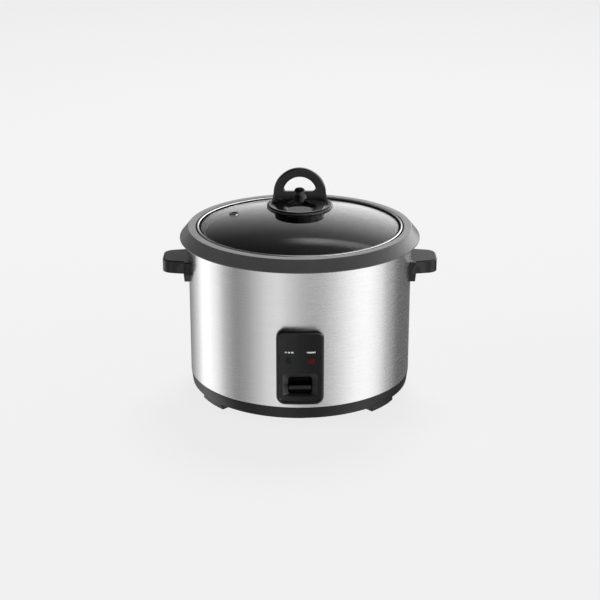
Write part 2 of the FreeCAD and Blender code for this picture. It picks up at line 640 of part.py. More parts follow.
def make_knob():
    """Hoop grip on a flange, with its seat on the glass, its post, washer and screw."""
    screw_hole = rod(KNOB_SCREW_R + SCREW_CLEARANCE, (0, 0, POT_TOP), (0, 0, FLANGE_TOP + 1))
    under_dome = GLASS_APEX - KNOB_SEAT_H
    seat = turned([(0, under_dome), (KNOB_SEAT_R, under_dome), (KNOB_SEAT_R, GLASS_APEX),
                   (KNOB_SEAT_TOP_R, FLANGE_Z, 0.8), (0, FLANGE_Z)])
    save("knob_seat", seat.cut(dome(-FACE_CLEARANCE / 2, KNOB_SEAT_TOP_R + 1)).cut(screw_hole))

    edge = KNOB_FLANGE_ROUND
    flange = turned([(0, FLANGE_Z), (KNOB_FLANGE_R, FLANGE_Z, edge), (KNOB_FLANGE_R, FLANGE_TOP, edge),
                     (KNOB_FLANGE_R - KNOB_FLANGE_BAND, FLANGE_TOP - 0.3), (0, FLANGE_TOP - KNOB_DISH)])
    root = FLANGE_TOP - HOOP_ROOT
    hoop = front_block([(-HOOP_FLARE, root), (HOOP_FLARE, root), (HOOP_OUTER_R, HOOP_Z),
                        (-HOOP_OUTER_R, HOOP_Z)], -HOOP_T / 2, HOOP_T / 2)
    arch = rod(HOOP_OUTER_R, (0, -HOOP_T / 2, HOOP_Z), (0, HOOP_T / 2, HOOP_Z))
    hoop = hoop.fuse(arch).common(box((-FAR, FAR), (-FAR, FAR), (root, FAR))).removeSplitter()
    eye_z = HOOP_Z + HOOP_EYE_RISE
    eye_floor = HOOP_Z + HOOP_EYE_FLOOR
    eye = rod(HOOP_HOLE_R, (0, -HOOP_T, eye_z), (0, HOOP_T, eye_z))
    eye = eye.common(box((-FAR, FAR), (-FAR, FAR), (eye_floor, FAR)))
    eye = soften(eye, HOOP_EYE_CORNER, lambda e: abs(e.CenterOfMass.y) < 0.01
                 and e.CenterOfMass.z < eye_floor + 0.1 and abs(e.CenterOfMass.x) > HOOP_HOLE_R / 2)
    hoop = hoop.cut(eye)
    hoop = soften(hoop, HOOP_EDGE, lambda e: abs(abs(e.CenterOfMass.y) - HOOP_T / 2) < 0.01
                  and e.CenterOfMass.z > FLANGE_TOP)
    spread = PEDESTAL_SPREAD
    foot = FLANGE_TOP - KNOB_DISH
    slope = []
    for side in (-1, 1):
        ends = [Vector(0, side * spread, foot),
                Vector(0, side * (HOOP_T / 2 + PEDESTAL_HOLLOW / 2), foot + PEDESTAL_STEP),
                Vector(0, side * (HOOP_T / 2 - 0.2), HOOP_Z - 0.3)]
        slope.append(Part.Arc(*ends).toShape())
    sides = [Part.LineSegment(slope[0].Vertexes[-1].Point, slope[1].Vertexes[-1].Point).toShape(),
             Part.LineSegment(slope[0].Vertexes[0].Point, slope[1].Vertexes[0].Point).toShape()]
    section = Part.Face(Part.Wire(Part.__sortEdges__(slope + sides)))
    pedestal = section.extrude(Vector(2 * FAR, 0, 0))
    pedestal.translate(Vector(-FAR, 0, 0))
    cone = Part.makeCone(HOOP_FLARE - 0.4, HOOP_OUTER_R - 0.4, HOOP_Z - foot, Vector(0, 0, foot), UP)
    pedestal = pedestal.common(cone)
    knob = flange.fuse([hoop, pedestal]).removeSplitter()
    knob = knob.cut(knob_post_profile(FACE_CLEARANCE / 2)).cut(screw_hole)
    save("knob", knob)

    thread_top = HOOP_Z - 2
    thread = rod(KNOB_SCREW_R + FACE_CLEARANCE / 2, (0, 0, FLANGE_Z), (0, 0, thread_top))
    save("knob_post", knob_post_profile().cut(thread))
    washer_top = GLASS_APEX - GLASS_T - KNOB_WASHER_R ** 2 / (2 * GLASS_DOME_R) - 0.02
    washer_low = washer_top - KNOB_WASHER_T
    save("knob_washer", ring(KNOB_SCREW_R + SCREW_CLEARANCE, KNOB_WASHER_R, washer_low, washer_top))
    length = thread_top - 1 - washer_low
    save("knob_screw", screw((0, 0, washer_low), (0, 0, 1), KNOB_SCREW_R, length, KNOB_SCREW_HEAD_R,
                             KNOB_SCREW_HEAD_H))


def make_handles():
    """A hollow grip on a plate that follows the body, on each side, with two screws from inside."""
    low = HANDLE_TOP - GRIP_H
    around = rod(BODY_R + FACE_CLEARANCE, (0, 0, 0), (0, 0, FAR))
    root = BODY_R - HANDLE_ROOT_INSET
    face = BODY_R + HANDLE_PLATE_FACE
    screws = []
    for name, side in (("handle_left", -1), ("handle_right", 1)):
        grip = plan_block([(root, -GRIP_ROOT_HALF), (HANDLE_REACH, -GRIP_END_HALF, GRIP_CORNER),
                           (HANDLE_REACH, GRIP_END_HALF, GRIP_CORNER), (root, GRIP_ROOT_HALF)],
                          low, HANDLE_TOP)
        grip = soften(grip, GRIP_EDGE, lambda e: e.CenterOfMass.x > BODY_R
                      and abs(e.CenterOfMass.z - HANDLE_TOP) < 0.01)
        inset = GRIP_WALL
        hollow = plan_block([(face + 1, -GRIP_ROOT_HALF + 2.2 * inset),
                             (HANDLE_REACH - inset, -GRIP_END_HALF + inset, GRIP_CORNER - inset),
                             (HANDLE_REACH - inset, GRIP_END_HALF - inset, GRIP_CORNER - inset),
                             (face + 1, GRIP_ROOT_HALF - 2.2 * inset)], low - 1, HANDLE_TOP - inset)
        plate_foot = HANDLE_TOP - HANDLE_PLATE_H
        at_foot, at_side, at_top = HANDLE_PLATE_ROUNDS
        half = HANDLE_PLATE_HALF
        foot_half = HANDLE_PLATE_FOOT_HALF
        corners = [(-foot_half, plate_foot, at_foot), (foot_half, plate_foot, at_foot), (half, low, at_side),
                   (half, HANDLE_TOP, at_top), (-half, HANDLE_TOP, at_top), (-half, low, at_side)]
        plate_face = Part.Face(outline(corners, lambda y, z: Vector(root, y, z)))
        plate = plate_face.extrude(Vector(face - root, 0, 0))
        handle = grip.fuse(plate).cut(hollow).cut(around).removeSplitter()
        for y in (-HANDLE_SCREW_SIDE, HANDLE_SCREW_SIDE):
            bore_end = face - HANDLE_BORE_SKIN
            bore_r = M4_R + FACE_CLEARANCE
            handle = handle.cut(rod(bore_r, (root, y, HANDLE_SCREW_Z), (bore_end, y, HANDLE_SCREW_Z)))
            edge_y = HANDLE_SCREW_SIDE + M4_HEAD_R
            bearing = math.sqrt(BODY_IN_R ** 2 - edge_y ** 2)
            length = bore_end - 0.5 - bearing
            one = screw((bearing, y, HANDLE_SCREW_Z), (1, 0, 0), M4_R, length, M4_HEAD_R, M4_HEAD_H)
            if side < 0:
                one.rotate(AXIS, UP, 180)
            screws.append(one)
        if side < 0:
            handle.rotate(AXIS, UP, 180)
        save(name, handle)
    save("handle_screws", *screws)


def panel_screw_spots():
    """The panel's two screws, on its middle line near its foot and its head, at the body's inner face."""
    bearing = -math.sqrt(BODY_IN_R ** 2 - M3_HEAD_R ** 2)
    low = PANEL_Z + PANEL_SCREW_INSETS[0]
    high = PANEL_Z + PANEL_H - PANEL_SCREW_INSETS[1]
    return [(0, bearing, low), (0, bearing, high)]


def make_panel():
    """Curved panel with a raised bezel, a funnel for the lever, two lamps and their holder."""
    top = PANEL_Z + PANEL_H
    half = PANEL_WIDTH / 2
    block = front_block(rounded_rectangle(half, PANEL_Z, top, PANEL_CORNER), -FAR, 0)
    panel = block.common(ring(BODY_R + FACE_CLEARANCE, PANEL_R, PANEL_Z - 1, top + 1))
    panel = soften(panel, BEZEL_ROUND, front_edge)
    inset = BEZEL_WIDTH
    window_corners = rounded_rectangle(half - inset, PANEL_Z + inset, top - inset, PANEL_CORNER - inset)
    window = front_block(window_corners, -FAR, 0)
    panel = panel.cut(window.common(ring(PANEL_FACE_R, PANEL_R + 10, PANEL_Z, top)))
    mouth_y = -PANEL_FACE_R - 1.0
    throat_y = -PANEL_FACE_R + RECESS_DEPTH
    mouth_top = RECESS_Z + RECESS_MOUTH_H
    throat_top = RECESS_Z + RECESS_THROAT_H
    mouth_corners = rounded_rectangle(RECESS_MOUTH_HALF, RECESS_Z, mouth_top, RECESS_CORNER)
    throat_corners = rounded_rectangle(RECESS_THROAT_HALF, RECESS_Z, throat_top, RECESS_CORNER)
    mouth = outline(mouth_corners, lambda x, z: Vector(x, mouth_y, z))
    throat = outline(throat_corners, lambda x, z: Vector(x, throat_y, z))
    panel = panel.cut(Part.makeLoft([mouth, throat], True, True))
    panel = panel.cut(front_block(throat_corners, throat_y - 0.5, 0))
    lamp_front = -math.sqrt(PANEL_FACE_R ** 2 - LAMP_SIDE ** 2)
    holder_z = (LAMP_Z - LAMP_HOLDER_H / 2, LAMP_Z + LAMP_HOLDER_H / 2)
    holder = box((-LAMP_HOLDER_HALF, LAMP_HOLDER_HALF), (-FAR, 0), holder_z)
    holder = holder.common(ring(LINER_R + BAND_T + 1.5, BODY_IN_R - FACE_CLEARANCE, BODY_Z, BODY_TOP))
    neons = []
    for name, side in (("lamp_lens_left", -1), ("lamp_lens_right", 1)):
        x = side * LAMP_SIDE
        panel = panel.cut(rod(LAMP_R + FACE_CLEARANCE, (x, -FAR, LAMP_Z), (x, 0, LAMP_Z)))
        lens_front = lamp_front - LENS_PROUD
        neon_front = lens_front + LENS_LENGTH
        lens = rod(LAMP_R, (x, lens_front, LAMP_Z), (x, neon_front, LAMP_Z))
        save(name, soften(lens, 0.9, lambda e: e.CenterOfMass.y < lamp_front))
        neon = rod(NEON_R, (x, neon_front, LAMP_Z), (x, neon_front + NEON_LENGTH, LAMP_Z))
        neons.append(neon)
        holder = holder.cut(rod(NEON_R + FACE_CLEARANCE, (x, -FAR, LAMP_Z), (x, 0, LAMP_Z)))
    save("neon_lamps", *neons)
    save("lamp_holder", holder)
    screws = []
    for x, y, z in panel_screw_spots():
        tip = y - BODY_WALL - PANEL_SCREW_BITE
        panel = panel.cut(rod(M3_R + FACE_CLEARANCE, (x, tip - 0.5, z), (x, 0, z)))
        screws.append(screw((x, y, z), (0, -1, 0), M3_R, y - tip, M3_HEAD_R, M3_HEAD_H))
    save("control_panel", panel)
    save("panel_screws", *screws)


def front_edge(edge):
    """True for an edge that lies on the panel's outer curved face."""
    return all(abs(math.hypot(v.X, v.Y) - PANEL_R) < 0.01 for v in edge.Vertexes)


def bracket_screw_spots():
    """Screws of the lever's bracket and of the thermostat's guide, in plan."""
    guide_x = (LINER_HOLE_R + GUIDE_R) / 2
    return [(-LEVER_WIDTH / 3, LEVER_HINGE_Y), (LEVER_WIDTH / 3, LEVER_HINGE_Y), (-guide_x, 0), (guide_x, 0)]


def make_lever():
    """Bent lever on a pin, its paddle, the bracket under the liner and the switch that it works."""
    half = LEVER_WIDTH / 2
    tongue_z = (PADDLE_Z - LEVER_T / 2, PADDLE_Z + LEVER_T / 2)
    riser_y = (LEVER_RISER_Y - LEVER_T / 2, LEVER_RISER_Y + LEVER_T / 2)
    tongue_end = PADDLE_INNER_Y - TONGUE_IN_PADDLE
    arm = box((-half, half), (riser_y[0], LEVER_TAIL_Y), (LEVER_BOTTOM, LEVER_TOP))
    riser = box((-half, half), riser_y, (LEVER_BOTTOM, tongue_z[1]))
    tongue = box((-half, half), (tongue_end, riser_y[1]), tongue_z)
    hinge = (0, LEVER_HINGE_Y, LEVER_Z)
    barrel = rod(HINGE_BARREL_R, (-half, hinge[1], hinge[2]), (half, hinge[1], hinge[2]))
    lever = arm.fuse([riser, tongue, barrel])
    lever = lever.cut(rod(HINGE_PIN_R + HINGE_RUN, (-FAR, hinge[1], hinge[2]), (FAR, hinge[1], hinge[2])))
    fork = box((-LEVER_SLOT_HALF, LEVER_SLOT_HALF), (-LEVER_SLOT_HALF, LEVER_TAIL_Y + 1), (0, FAR))
    save("switch_lever", lever.cut(fork).removeSplitter())

    paddle_half = PADDLE_WIDTH / 2
    front = -PANEL_R + PADDLE_RECESSED
    paddle_z = (PADDLE_Z - PADDLE_T / 2, PADDLE_Z + PADDLE_T / 2)
    paddle = box((-paddle_half, paddle_half), (front, PADDLE_INNER_Y), paddle_z)
    paddle = soften(paddle, PADDLE_EDGE, lambda e: e.CenterOfMass.y < front + 0.1)
    gap = FACE_CLEARANCE
    pocket_z = (tongue_z[0] - gap, tongue_z[1] + gap)
    pocket = box((-half - gap, half + gap), (tongue_end - gap, riser_y[1]), pocket_z)
    save("lever_paddle", paddle.cut(pocket))

    shutter_y = (riser_y[0] - SHUTTER_T, riser_y[0])
    save("lever_shutter", box((-SHUTTER_HALF, SHUTTER_HALF), shutter_y, SHUTTER_SPAN).cut(pocket))

    cheek_in = half + BRACKET_SIDE_GAP
    cheek_out = cheek_in + BRACKET_SHEET
    y = (hinge[1] - BRACKET_LENGTH / 2, hinge[1] + BRACKET_LENGTH / 2)
    bracket = box((-cheek_out, cheek_out), y, (LEVER_Z - BRACKET_BELOW_PIN, LINER_FLOOR_Z))
    bracket = bracket.cut(box((-cheek_in, cheek_in), (-FAR, FAR), (0, LINER_FLOOR_Z - BRACKET_SHEET)))
    pin_end = cheek_out + HINGE_PIN_OVERHANG
    pin_bore = rod(HINGE_PIN_R + HINGE_RUN / 2, (-FAR, hinge[1], hinge[2]), (FAR, hinge[1], hinge[2]))
    bracket = bracket.cut(pin_bore)
    screws = []
    for x, screw_y in bracket_screw_spots():
        under = LINER_FLOOR_Z - (BRACKET_SHEET if screw_y < 0 else GUIDE_T)
        hole = rod(M3_R + SCREW_CLEARANCE, (x, screw_y, under - 1), (x, screw_y, LINER_FLOOR_Z + 1))
        bracket = bracket.cut(hole)
        length = LINER_FLOOR_TOP + 2 - under
        screws.append(screw((x, screw_y, under), (0, 0, 1), M3_R, length, M3_HEAD_R, M3_HEAD_H))
    save("lever_bracket", bracket)
    save("bracket_screws", *screws)
    save("lever_pin", rod(HINGE_PIN_R, (-pin_end, hinge[1], hinge[2]), (pin_end, hinge[1], hinge[2])))

    size = SWITCH_SIZE
    switch_y = (SWITCH_Y - size[1] / 2, SWITCH_Y + size[1] / 2)
    switch = box((-size[0] / 2, size[0] / 2), switch_y, (FLOOR_TOP, SWITCH_TOP))
    switch = soften(switch, SWITCH_EDGE, lambda e: e.CenterOfMass.z > SWITCH_TOP - 0.1)
    well_low = SWITCH_TOP - PLUNGER_WELL
    well = rod(PLUNGER_R + PLUNGER_RUN, (0, SWITCH_Y, well_low), (0, SWITCH_Y, SWITCH_TOP + 1))
    save("microswitch", switch.cut(well))
    plunger_top = LEVER_BOTTOM - PLUNGER_GAP
    plunger_low = plunger_top - PLUNGER_LENGTH
    save("switch_plunger", rod(PLUNGER_R, (0, SWITCH_Y, plunger_low), (0, SWITCH_Y, plunger_top)))


def make_thermostat():
    """Sprung sensor cup with its ferrite, and the magnet on the rod that the lever lifts."""
    cup = ring(0, CUP_R, CUP_TOP_Z - CUP_H, CUP_TOP_Z)
    cup = soften(cup, CUP_EDGE, lambda e: e.CenterOfMass.z > CUP_TOP_Z - 0.1)
    save("sensor_cup", cup.cut(ring(0, CUP_R - CUP_WALL, 0, CUP_TOP_Z - CUP_TOP)))
    save("ferrite_disc", ring(0, FERRITE_R, FERRITE_Z, FERRITE_Z + FERRITE_T))
    spring_top = CUP_TOP_Z - CUP_TOP
    save("sensor_spring", ring(SENSOR_SPRING_R - SPRING_WIRE, SENSOR_SPRING_R, LINER_FLOOR_Z, spring_top))

    holder_low = MAGNET_Z - HOLDER_FLOOR
    holder_r = MAGNET_R + FACE_CLEARANCE
    holder = ring(0, holder_r + HOLDER_WALL, holder_low, MAGNET_Z + MAGNET_T)
    save("magnet_holder", holder.cut(ring(0, holder_r, MAGNET_Z, MAGNET_Z + MAGNET_T + 1)))
    save("thermostat_magnet", ring(0, MAGNET_R, MAGNET_Z, MAGNET_Z + MAGNET_T))
    collar_z = LEVER_TOP + ROD_COLLAR_GAP
    rod_low = LEVER_BOTTOM - ROD_BELOW_LEVER
    pull = rod(ROD_R, (0, 0, rod_low), (0, 0, holder_low))
    pull = pull.fuse(ring(0, ROD_COLLAR_R, collar_z, collar_z + ROD_COLLAR_T))
    pull = pull.fuse(ring(0, ROD_COLLAR_R - 1, rod_low, rod_low + ROD_COLLAR_T))
    save("pull_rod", pull.removeSplitter())
    spring_low = collar_z + ROD_COLLAR_T
    save("rod_spring", ring(ROD_SPRING_R - SPRING_WIRE, ROD_SPRING_R, spring_low, GUIDE_Z))
    guide = ring(ROD_R + ROD_RUN, GUIDE_R, GUIDE_Z, LINER_FLOOR_Z)
    for x, y in bracket_screw_spots():
        guide = guide.cut(rod(M3_R + SCREW_CLEARANCE, (x, y, GUIDE_Z - 1), (x, y, LINER_FLOOR_Z + 1)))
    save("thermostat_guide", guide)


def wire_along(points):
    """An insulated wire through points, straight between round bends."""
    points = [Vector(*p) for p in points]
    edges = []
    start = points[0]
    for back, corner, ahead in zip(points, points[1:], points[2:]):
        to_back = (back - corner).normalize()
        to_ahead = (ahead - corner).normalize()
        half = to_back.getAngle(to_ahead) / 2
        reach = WIRE_BEND / math.tan(half)
        middle = (to_back + to_ahead).normalize()
        one = corner + to_back * reach
        two = corner + to_ahead * reach
        edges.append(Part.LineSegment(start, one).toShape())
        crown = corner + middle * (WIRE_BEND / math.sin(half) - WIRE_BEND)
        edges.append(Part.Arc(one, crown, two).toShape())
        start = two
    edges.append(Part.LineSegment(start, points[-1]).toShape())
    path = Part.Wire(edges)
    way = points[1] - points[0]
    section = Part.Wire(Part.Circle(points[0], way, WIRE_R).toShape())
    return path.makePipeShell([section], True, True)


def make_electrics():
    """Inlet, terminal block, fuse and the wires that join them."""
    low = INLET_Z - INLET_H / 2
    high = INLET_Z + INLET_H / 2
    outer_y = BODY_R + INLET_FLANGE_T
    shell = rod(BODY_R + FACE_CLEARANCE, (0, 0, 0), (0, 0, FAR))
    corner = INLET_CORNER
    flange_half = INLET_HALF + INLET_FLANGE
    flange_corners = rounded_rectangle(flange_half, low - INLET_FLANGE / 3, high + INLET_FLANGE, corner)
    flange = front_block(flange_corners, INLET_INNER_Y, outer_y).cut(shell)
    inlet = front_block(rounded_rectangle(INLET_HALF, low, high, corner), INLET_INNER_Y, outer_y).fuse(flange)
    mouth_y = outer_y - INLET_DEPTH
    wall = INLET_WALL
    hollow_corners = rounded_rectangle(INLET_HALF - wall, low + wall, high - wall, corner)
    inlet = inlet.cut(front_block(hollow_corners, mouth_y, outer_y + 1))
    pins = []
    for side in (-1, 0, 1):
        x = side * PIN_PITCH
        z = INLET_Z + (PIN_EARTH_RISE if side == 0 else -PIN_DROP)
        pin = box((x - PIN_SIZE[0] / 2, x + PIN_SIZE[0] / 2), (INLET_INNER_Y - PIN_TAIL, mouth_y + PIN_STAND),
                  (z - PIN_SIZE[1] / 2, z + PIN_SIZE[1] / 2))
        inlet = inlet.cut(pin)
        pins.append(pin)
    save("power_inlet", inlet.removeSplitter())
    save("inlet_pins", *pins)

    size = BLOCK_SIZE
    save("terminal_block", box((-size[0] / 2, size[0] / 2), (BLOCK_Y - size[1] / 2, BLOCK_Y + size[1] / 2),
                               (FLOOR_TOP, FLOOR_TOP + size[2])))
    fuse_z = LINER_FLOOR_Z - FUSE_DROP
    fuse_half = FUSE_LENGTH / 2
    fuse = rod(FUSE_R, (-fuse_half, FUSE_Y, fuse_z), (fuse_half, FUSE_Y, fuse_z))
    save("thermal_fuse", fuse)
    bore = FUSE_R + FACE_CLEARANCE
    clip_half = CLIP_WIDTH / 2
    clip = box((-clip_half, clip_half), (FUSE_Y - bore - CLIP_SHEET, FUSE_Y + bore + CLIP_SHEET),
               (fuse_z - CLIP_GRIP, LINER_FLOOR_Z))
    clip = clip.cut(rod(bore, (-FAR, FUSE_Y, fuse_z), (FAR, FUSE_Y, fuse_z)))
    clip = clip.cut(box((-FAR, FAR), (FUSE_Y - bore, FUSE_Y + bore), (0, fuse_z)))
    save("fuse_clip", clip)

    tail_y = INLET_INNER_Y - PIN_TAIL
    pin_z = INLET_Z - PIN_DROP
    back_y = BLOCK_Y + size[1] / 2
    side_x = size[0] / 2
    heater_y = BLOCK_Y + WIRE_STEP
    switch_lead_y = BLOCK_Y - WIRE_STEP
    wires = []
    for side in (-1, 1):
        x = side * PIN_PITCH
        wires.append(wire_along([(x, tail_y, pin_z), (x, tail_y - WIRE_LEAD, pin_z),
                                 (x, back_y + WIRE_LEAD, WIRE_Z), (x, back_y, WIRE_Z)]))
        end_x = side * TERMINAL_SIDE
        wires.append(wire_along([(side * side_x, heater_y, WIRE_Z), (end_x, heater_y, WIRE_Z),
                                 (end_x, 0, WIRE_Z), (end_x, 0, PLATE_Z - TERMINAL_LENGTH)]))
    switch_x = SWITCH_SIZE[0] / 2
    lane_x = side_x + WIRE_LANE
    wires.append(wire_along([(switch_x, SWITCH_Y, WIRE_Z), (lane_x, SWITCH_Y, WIRE_Z),
                             (lane_x, switch_lead_y, WIRE_Z), (side_x, switch_lead_y, WIRE_Z)]))
    save("wiring", *wires)


def make_tie_posts():
    """Posts between the base and the liner, with the screws that hold the base."""
    posts = []
    screws = []
    for angle, radius in POST_SPOTS:
        post = rod(POST_R, spot(angle, radius, FLOOR_TOP), spot(angle, radius, LINER_FLOOR_Z))
        bore_top = FLOOR_TOP + POST_THREAD
        bore = rod(M4_R + FACE_CLEARANCE, spot(angle, radius, 0), spot(angle, radius, bore_top))
        posts.append(post.cut(bore))
        length = bore_top - 1 - BASE_Z
        screws.append(screw(spot(angle, radius, BASE_Z), (0, 0, 1), M4_R, length, M4_HEAD_R, M4_HEAD_H))
    save("tie_posts", *posts)
    save("base_screws", *screws)


os.makedirs("parts", exist_ok=True)
make_outer_body()
make_base_tray()
make_feet()
make_top_collar()
make_liner()
make_heater()
make_pot()
make_lid()
make_knob()
make_handles()
make_panel()
make_lever()
make_thermostat()
make_electrics()
make_tie_posts()
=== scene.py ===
"""Looks of the rice cooker: finishes for every piece, the printed marks, the studio and the camera."""
import json
import math

import bmesh
import bpy
import numpy as np
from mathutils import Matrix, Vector


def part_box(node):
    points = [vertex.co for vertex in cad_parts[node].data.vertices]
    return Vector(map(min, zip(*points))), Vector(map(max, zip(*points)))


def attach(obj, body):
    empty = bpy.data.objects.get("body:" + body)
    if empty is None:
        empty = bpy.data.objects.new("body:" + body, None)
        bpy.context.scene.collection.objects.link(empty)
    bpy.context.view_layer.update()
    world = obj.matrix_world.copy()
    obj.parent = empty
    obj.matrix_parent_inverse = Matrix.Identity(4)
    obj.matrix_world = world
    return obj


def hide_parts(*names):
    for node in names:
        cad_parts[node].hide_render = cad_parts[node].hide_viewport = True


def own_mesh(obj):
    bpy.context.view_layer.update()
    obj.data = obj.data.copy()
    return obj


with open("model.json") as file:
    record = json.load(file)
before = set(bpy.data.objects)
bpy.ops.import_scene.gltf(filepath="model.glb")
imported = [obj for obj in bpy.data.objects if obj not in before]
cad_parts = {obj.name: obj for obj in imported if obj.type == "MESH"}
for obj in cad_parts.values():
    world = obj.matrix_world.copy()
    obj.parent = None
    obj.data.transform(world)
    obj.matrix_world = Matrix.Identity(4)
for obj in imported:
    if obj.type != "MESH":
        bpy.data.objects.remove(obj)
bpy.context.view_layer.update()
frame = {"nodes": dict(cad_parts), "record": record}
RECORD = frame["record"]
BODY_OF = {node: body for body, nodes in RECORD["behaviour"]["bodies"].items() for node in nodes}
SLOT_OF = {sub["node"]: sub["material_slot"] for sub in RECORD["subparts"]}

MM = 0.001
TURN = 2 * math.pi

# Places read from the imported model
body_low, body_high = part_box("outer_body")
inlet_low, inlet_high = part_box("power_inlet")
lens_low, lens_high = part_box("lamp_lens_left")
panel_low, panel_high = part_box("control_panel")
rim_low, rim_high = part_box("lid_rim")
knob_low, knob_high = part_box("knob")
BODY_R = body_high.x
BODY_FOOT = body_low.z
BODY_TOP = body_high.z
LAMP_X = (lens_low.x + lens_high.x) / -2
LAMP_Z = (lens_low.z + lens_high.z) / 2
COLLAR_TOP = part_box("top_collar")[1].z
COLLAR_MOUTH_R = rim_high.x + 1.3 * MM

# Steel skin
SHEET_T = 0.8 * MM
SHEET_HEM = 0.35 * MM
SHEET_HEM_H = 0.8 * MM
INLET_EDGE = 3.8 * MM
INLET_FOOT_EDGE = 1.1 * MM

# Control panel, its bezel, the lever's recess and the printed marks
BEZEL_H = 1.2 * MM
BEZEL_ROUND = 2.8 * MM
BEZEL_LIP = 0.2 * MM
BEZEL_SLOPE = 1.5 * MM
PANEL_FACE_R = -panel_low.y - BEZEL_H
PANEL_CORNER = 9.5 * MM
PANEL_OFF_STEEL = 0.1 * MM
RECESS_DEPTH = 7.0 * MM
RECESS_PAST_STEEL = 1.4 * MM
MOUTH_HALF = 19.5 * MM
MOUTH_TOP = 67.3 * MM
MOUTH_CORNER = 4.2 * MM
SLOT_HALF = 13.4 * MM
SLOT_SPAN = (39.3 * MM, 61.1 * MM)
SLOT_CORNER = 3.0 * MM
SLOT_SILL = 0.2 * MM
MARK_OVER_LAMP = 10.3 * MM
MARK_H = 1.8 * MM
WARM_MARK_HALF = 1.2 * MM
WARM_MARK_STEP = 3.6 * MM
COOK_MARK_HALF = 4.8 * MM
INK_OVER_FACE = 0.04 * MM
INK_T = 0.03 * MM

# Lid rim: its bead, and profiles in mm, inward from the edge and then up from the foot or down from the top
BEAD_R = 1.05 * MM
BEAD_INSET = 0.2 * MM
RIM_FOOT = [(4.5, 0.4), (4.1, 0.0), (0.6, 0.0), (0.2, 0.4)]
RIM_LEDGE = [(2.4, 1.8), (4.5, 1.85)]
SEAL = [(2.25, 2.2), (2.25, 1.1), (3.0, 1.35), (4.6, 1.5), (4.85, 1.7), (4.85, 2.2)]

# Sleeve in the steam vent: gap to the hole's wall, and to its lower and upper end
SLEEVE_GAP = 0.05 * MM
SLEEVE_ENDS = (0.1 * MM, 0.3 * MM)

# Knob: flange, hoop grip and the scooped foot of the grip, which sinks a little into both
FLANGE_R = knob_high.x
FLANGE_T = 5.6 * MM
FLANGE_TOP = knob_low.z + FLANGE_T
FLANGE_ROUND = 2.4 * MM
FLANGE_HOLE_R = 3.0 * MM
FLANGE_DISH = [(FLANGE_R - 3.6 * MM, 0.15 * MM), (FLANGE_R - 5.0 * MM, 0.3 * MM), (FLANGE_HOLE_R, 0.6 * MM)]
ARCH_R = 30.8 * MM
EYE_R = 19.5 * MM
EYE_RISE = 1.0 * MM
EYE_FLOOR = 2.7 * MM
EYE_CORNER = 4.0 * MM
EYE_MIDDLE = 9.0 * MM
HOOP_FLARE = 34.2 * MM
HOOP_ROOT = 1.5 * MM
HOOP_T = 7.5 * MM
HOOP_ROUND = 1.6 * MM
HOOP_Z = knob_high.z - ARCH_R
FOOT_HALF = 33.4 * MM
FOOT_TAPER = 7.5 * MM
FOOT_REACH = 35.6 * MM
FOOT_SLOPE = 0.16
FOOT_IN_HOOP = 0.6 * MM
FOOT_IN_FLANGE = 0.25 * MM
FOOT_SIDES_IN_FLANGE = 1.2 * MM
FOOT_BULGE = (0.5 * MM, 4.5 * MM)
FOOT_BULGE_HALF = 12.0 * MM
SCOOP_HALF = 14.5 * MM
SCOOP_LENGTH = 9.0 * MM
SCOOP_END = 19.0 * MM
SCOOP_START = 0.9
SCOOP_RISE = 0.45

# Angles in degrees past which an edge is shaded sharp
NODE_SHARP = 32
PANEL_SHARP = 38
KNOB_SHARP = 42
RIM_SHARP = 50

# Camera fitted to the photograph's ellipses
CAMERA_DISTANCE = 1.8
CAMERA_ELEVATION = math.radians(19.77)
CAMERA_TURN = math.radians(-0.15)
CAMERA_AIM_Z = 0.1122
CAMERA_SENSOR = 36.0
CAMERA_LENS = 89.8
CAMERA_SHIFT = (0.0004, -0.0093)

# Floor: its tone, and the share of it that the camera sees without shadow
FLOOR_HALF = 6.0
FLOOR_TONE = 0.86
FLOOR_PLAIN = 0.93

# Lamps: name, width, power and place
LAMPS = [("overhead", 1.4, 105.0, (0.3, 1.6, 2.6)), ("left", 1.0, 20.0, (-2.0, -0.2, 1.1))]
LAMP_AIM = Vector((0, 0, 0.1))

# Tones of the surroundings: by compass angle from the front under the horizon, by height over it
BRIGHTEST = 3.4
SCREENS = [(-180, 0.3), (-165, 0.25), (-150, 0.36), (-137, 0.66), (-116, 1.55), (-97, 1.15), (-82, 0.5),
           (-69, 0.28), (-57, 0.4), (-45, 0.62), (-34, 0.86), (-22, 0.93), (-8, 0.71), (2, 0.53),
           (12, 0.43), (23, 0.46), (34, 0.61), (44, 0.82), (52, 1.0), (62, 1.18), (75, 1.22), (88, 1.03),
           (104, 0.44), (122, 0.11), (155, 0.12), (168, 0.2), (180, 0.3)]
FADE_LEFT = [(0, 0.7), (11, 0.24), (20, 0.08), (28, 0.01), (37, 0.0), (55, 0.06), (74, 0.1), (82, 1.2),
             (90, 1.4)]
FADE_RIGHT = [(0, 3.4), (11, 3.4), (20, 2.1), (28, 0.92), (37, 0.4), (55, 0.06), (74, 0.1), (82, 1.2),
              (90, 1.4)]
FADE_TURN = (-0.35, 0.88)
HORIZON = (-0.06, 0.04)
STRIP_LIGHT = 0.7
STRIP_ACROSS = [(0.44, 0.0), (0.55, 1.0), (0.64, 0.7), (0.76, 0.0)]
STRIP_UP = [(0.51, 0.0), (0.53, 1.0), (0.54, 0.9), (0.58, 0.0)]


# Shader building


def grey(level):
    """A neutral colour."""
    return (level, level, level, 1.0)


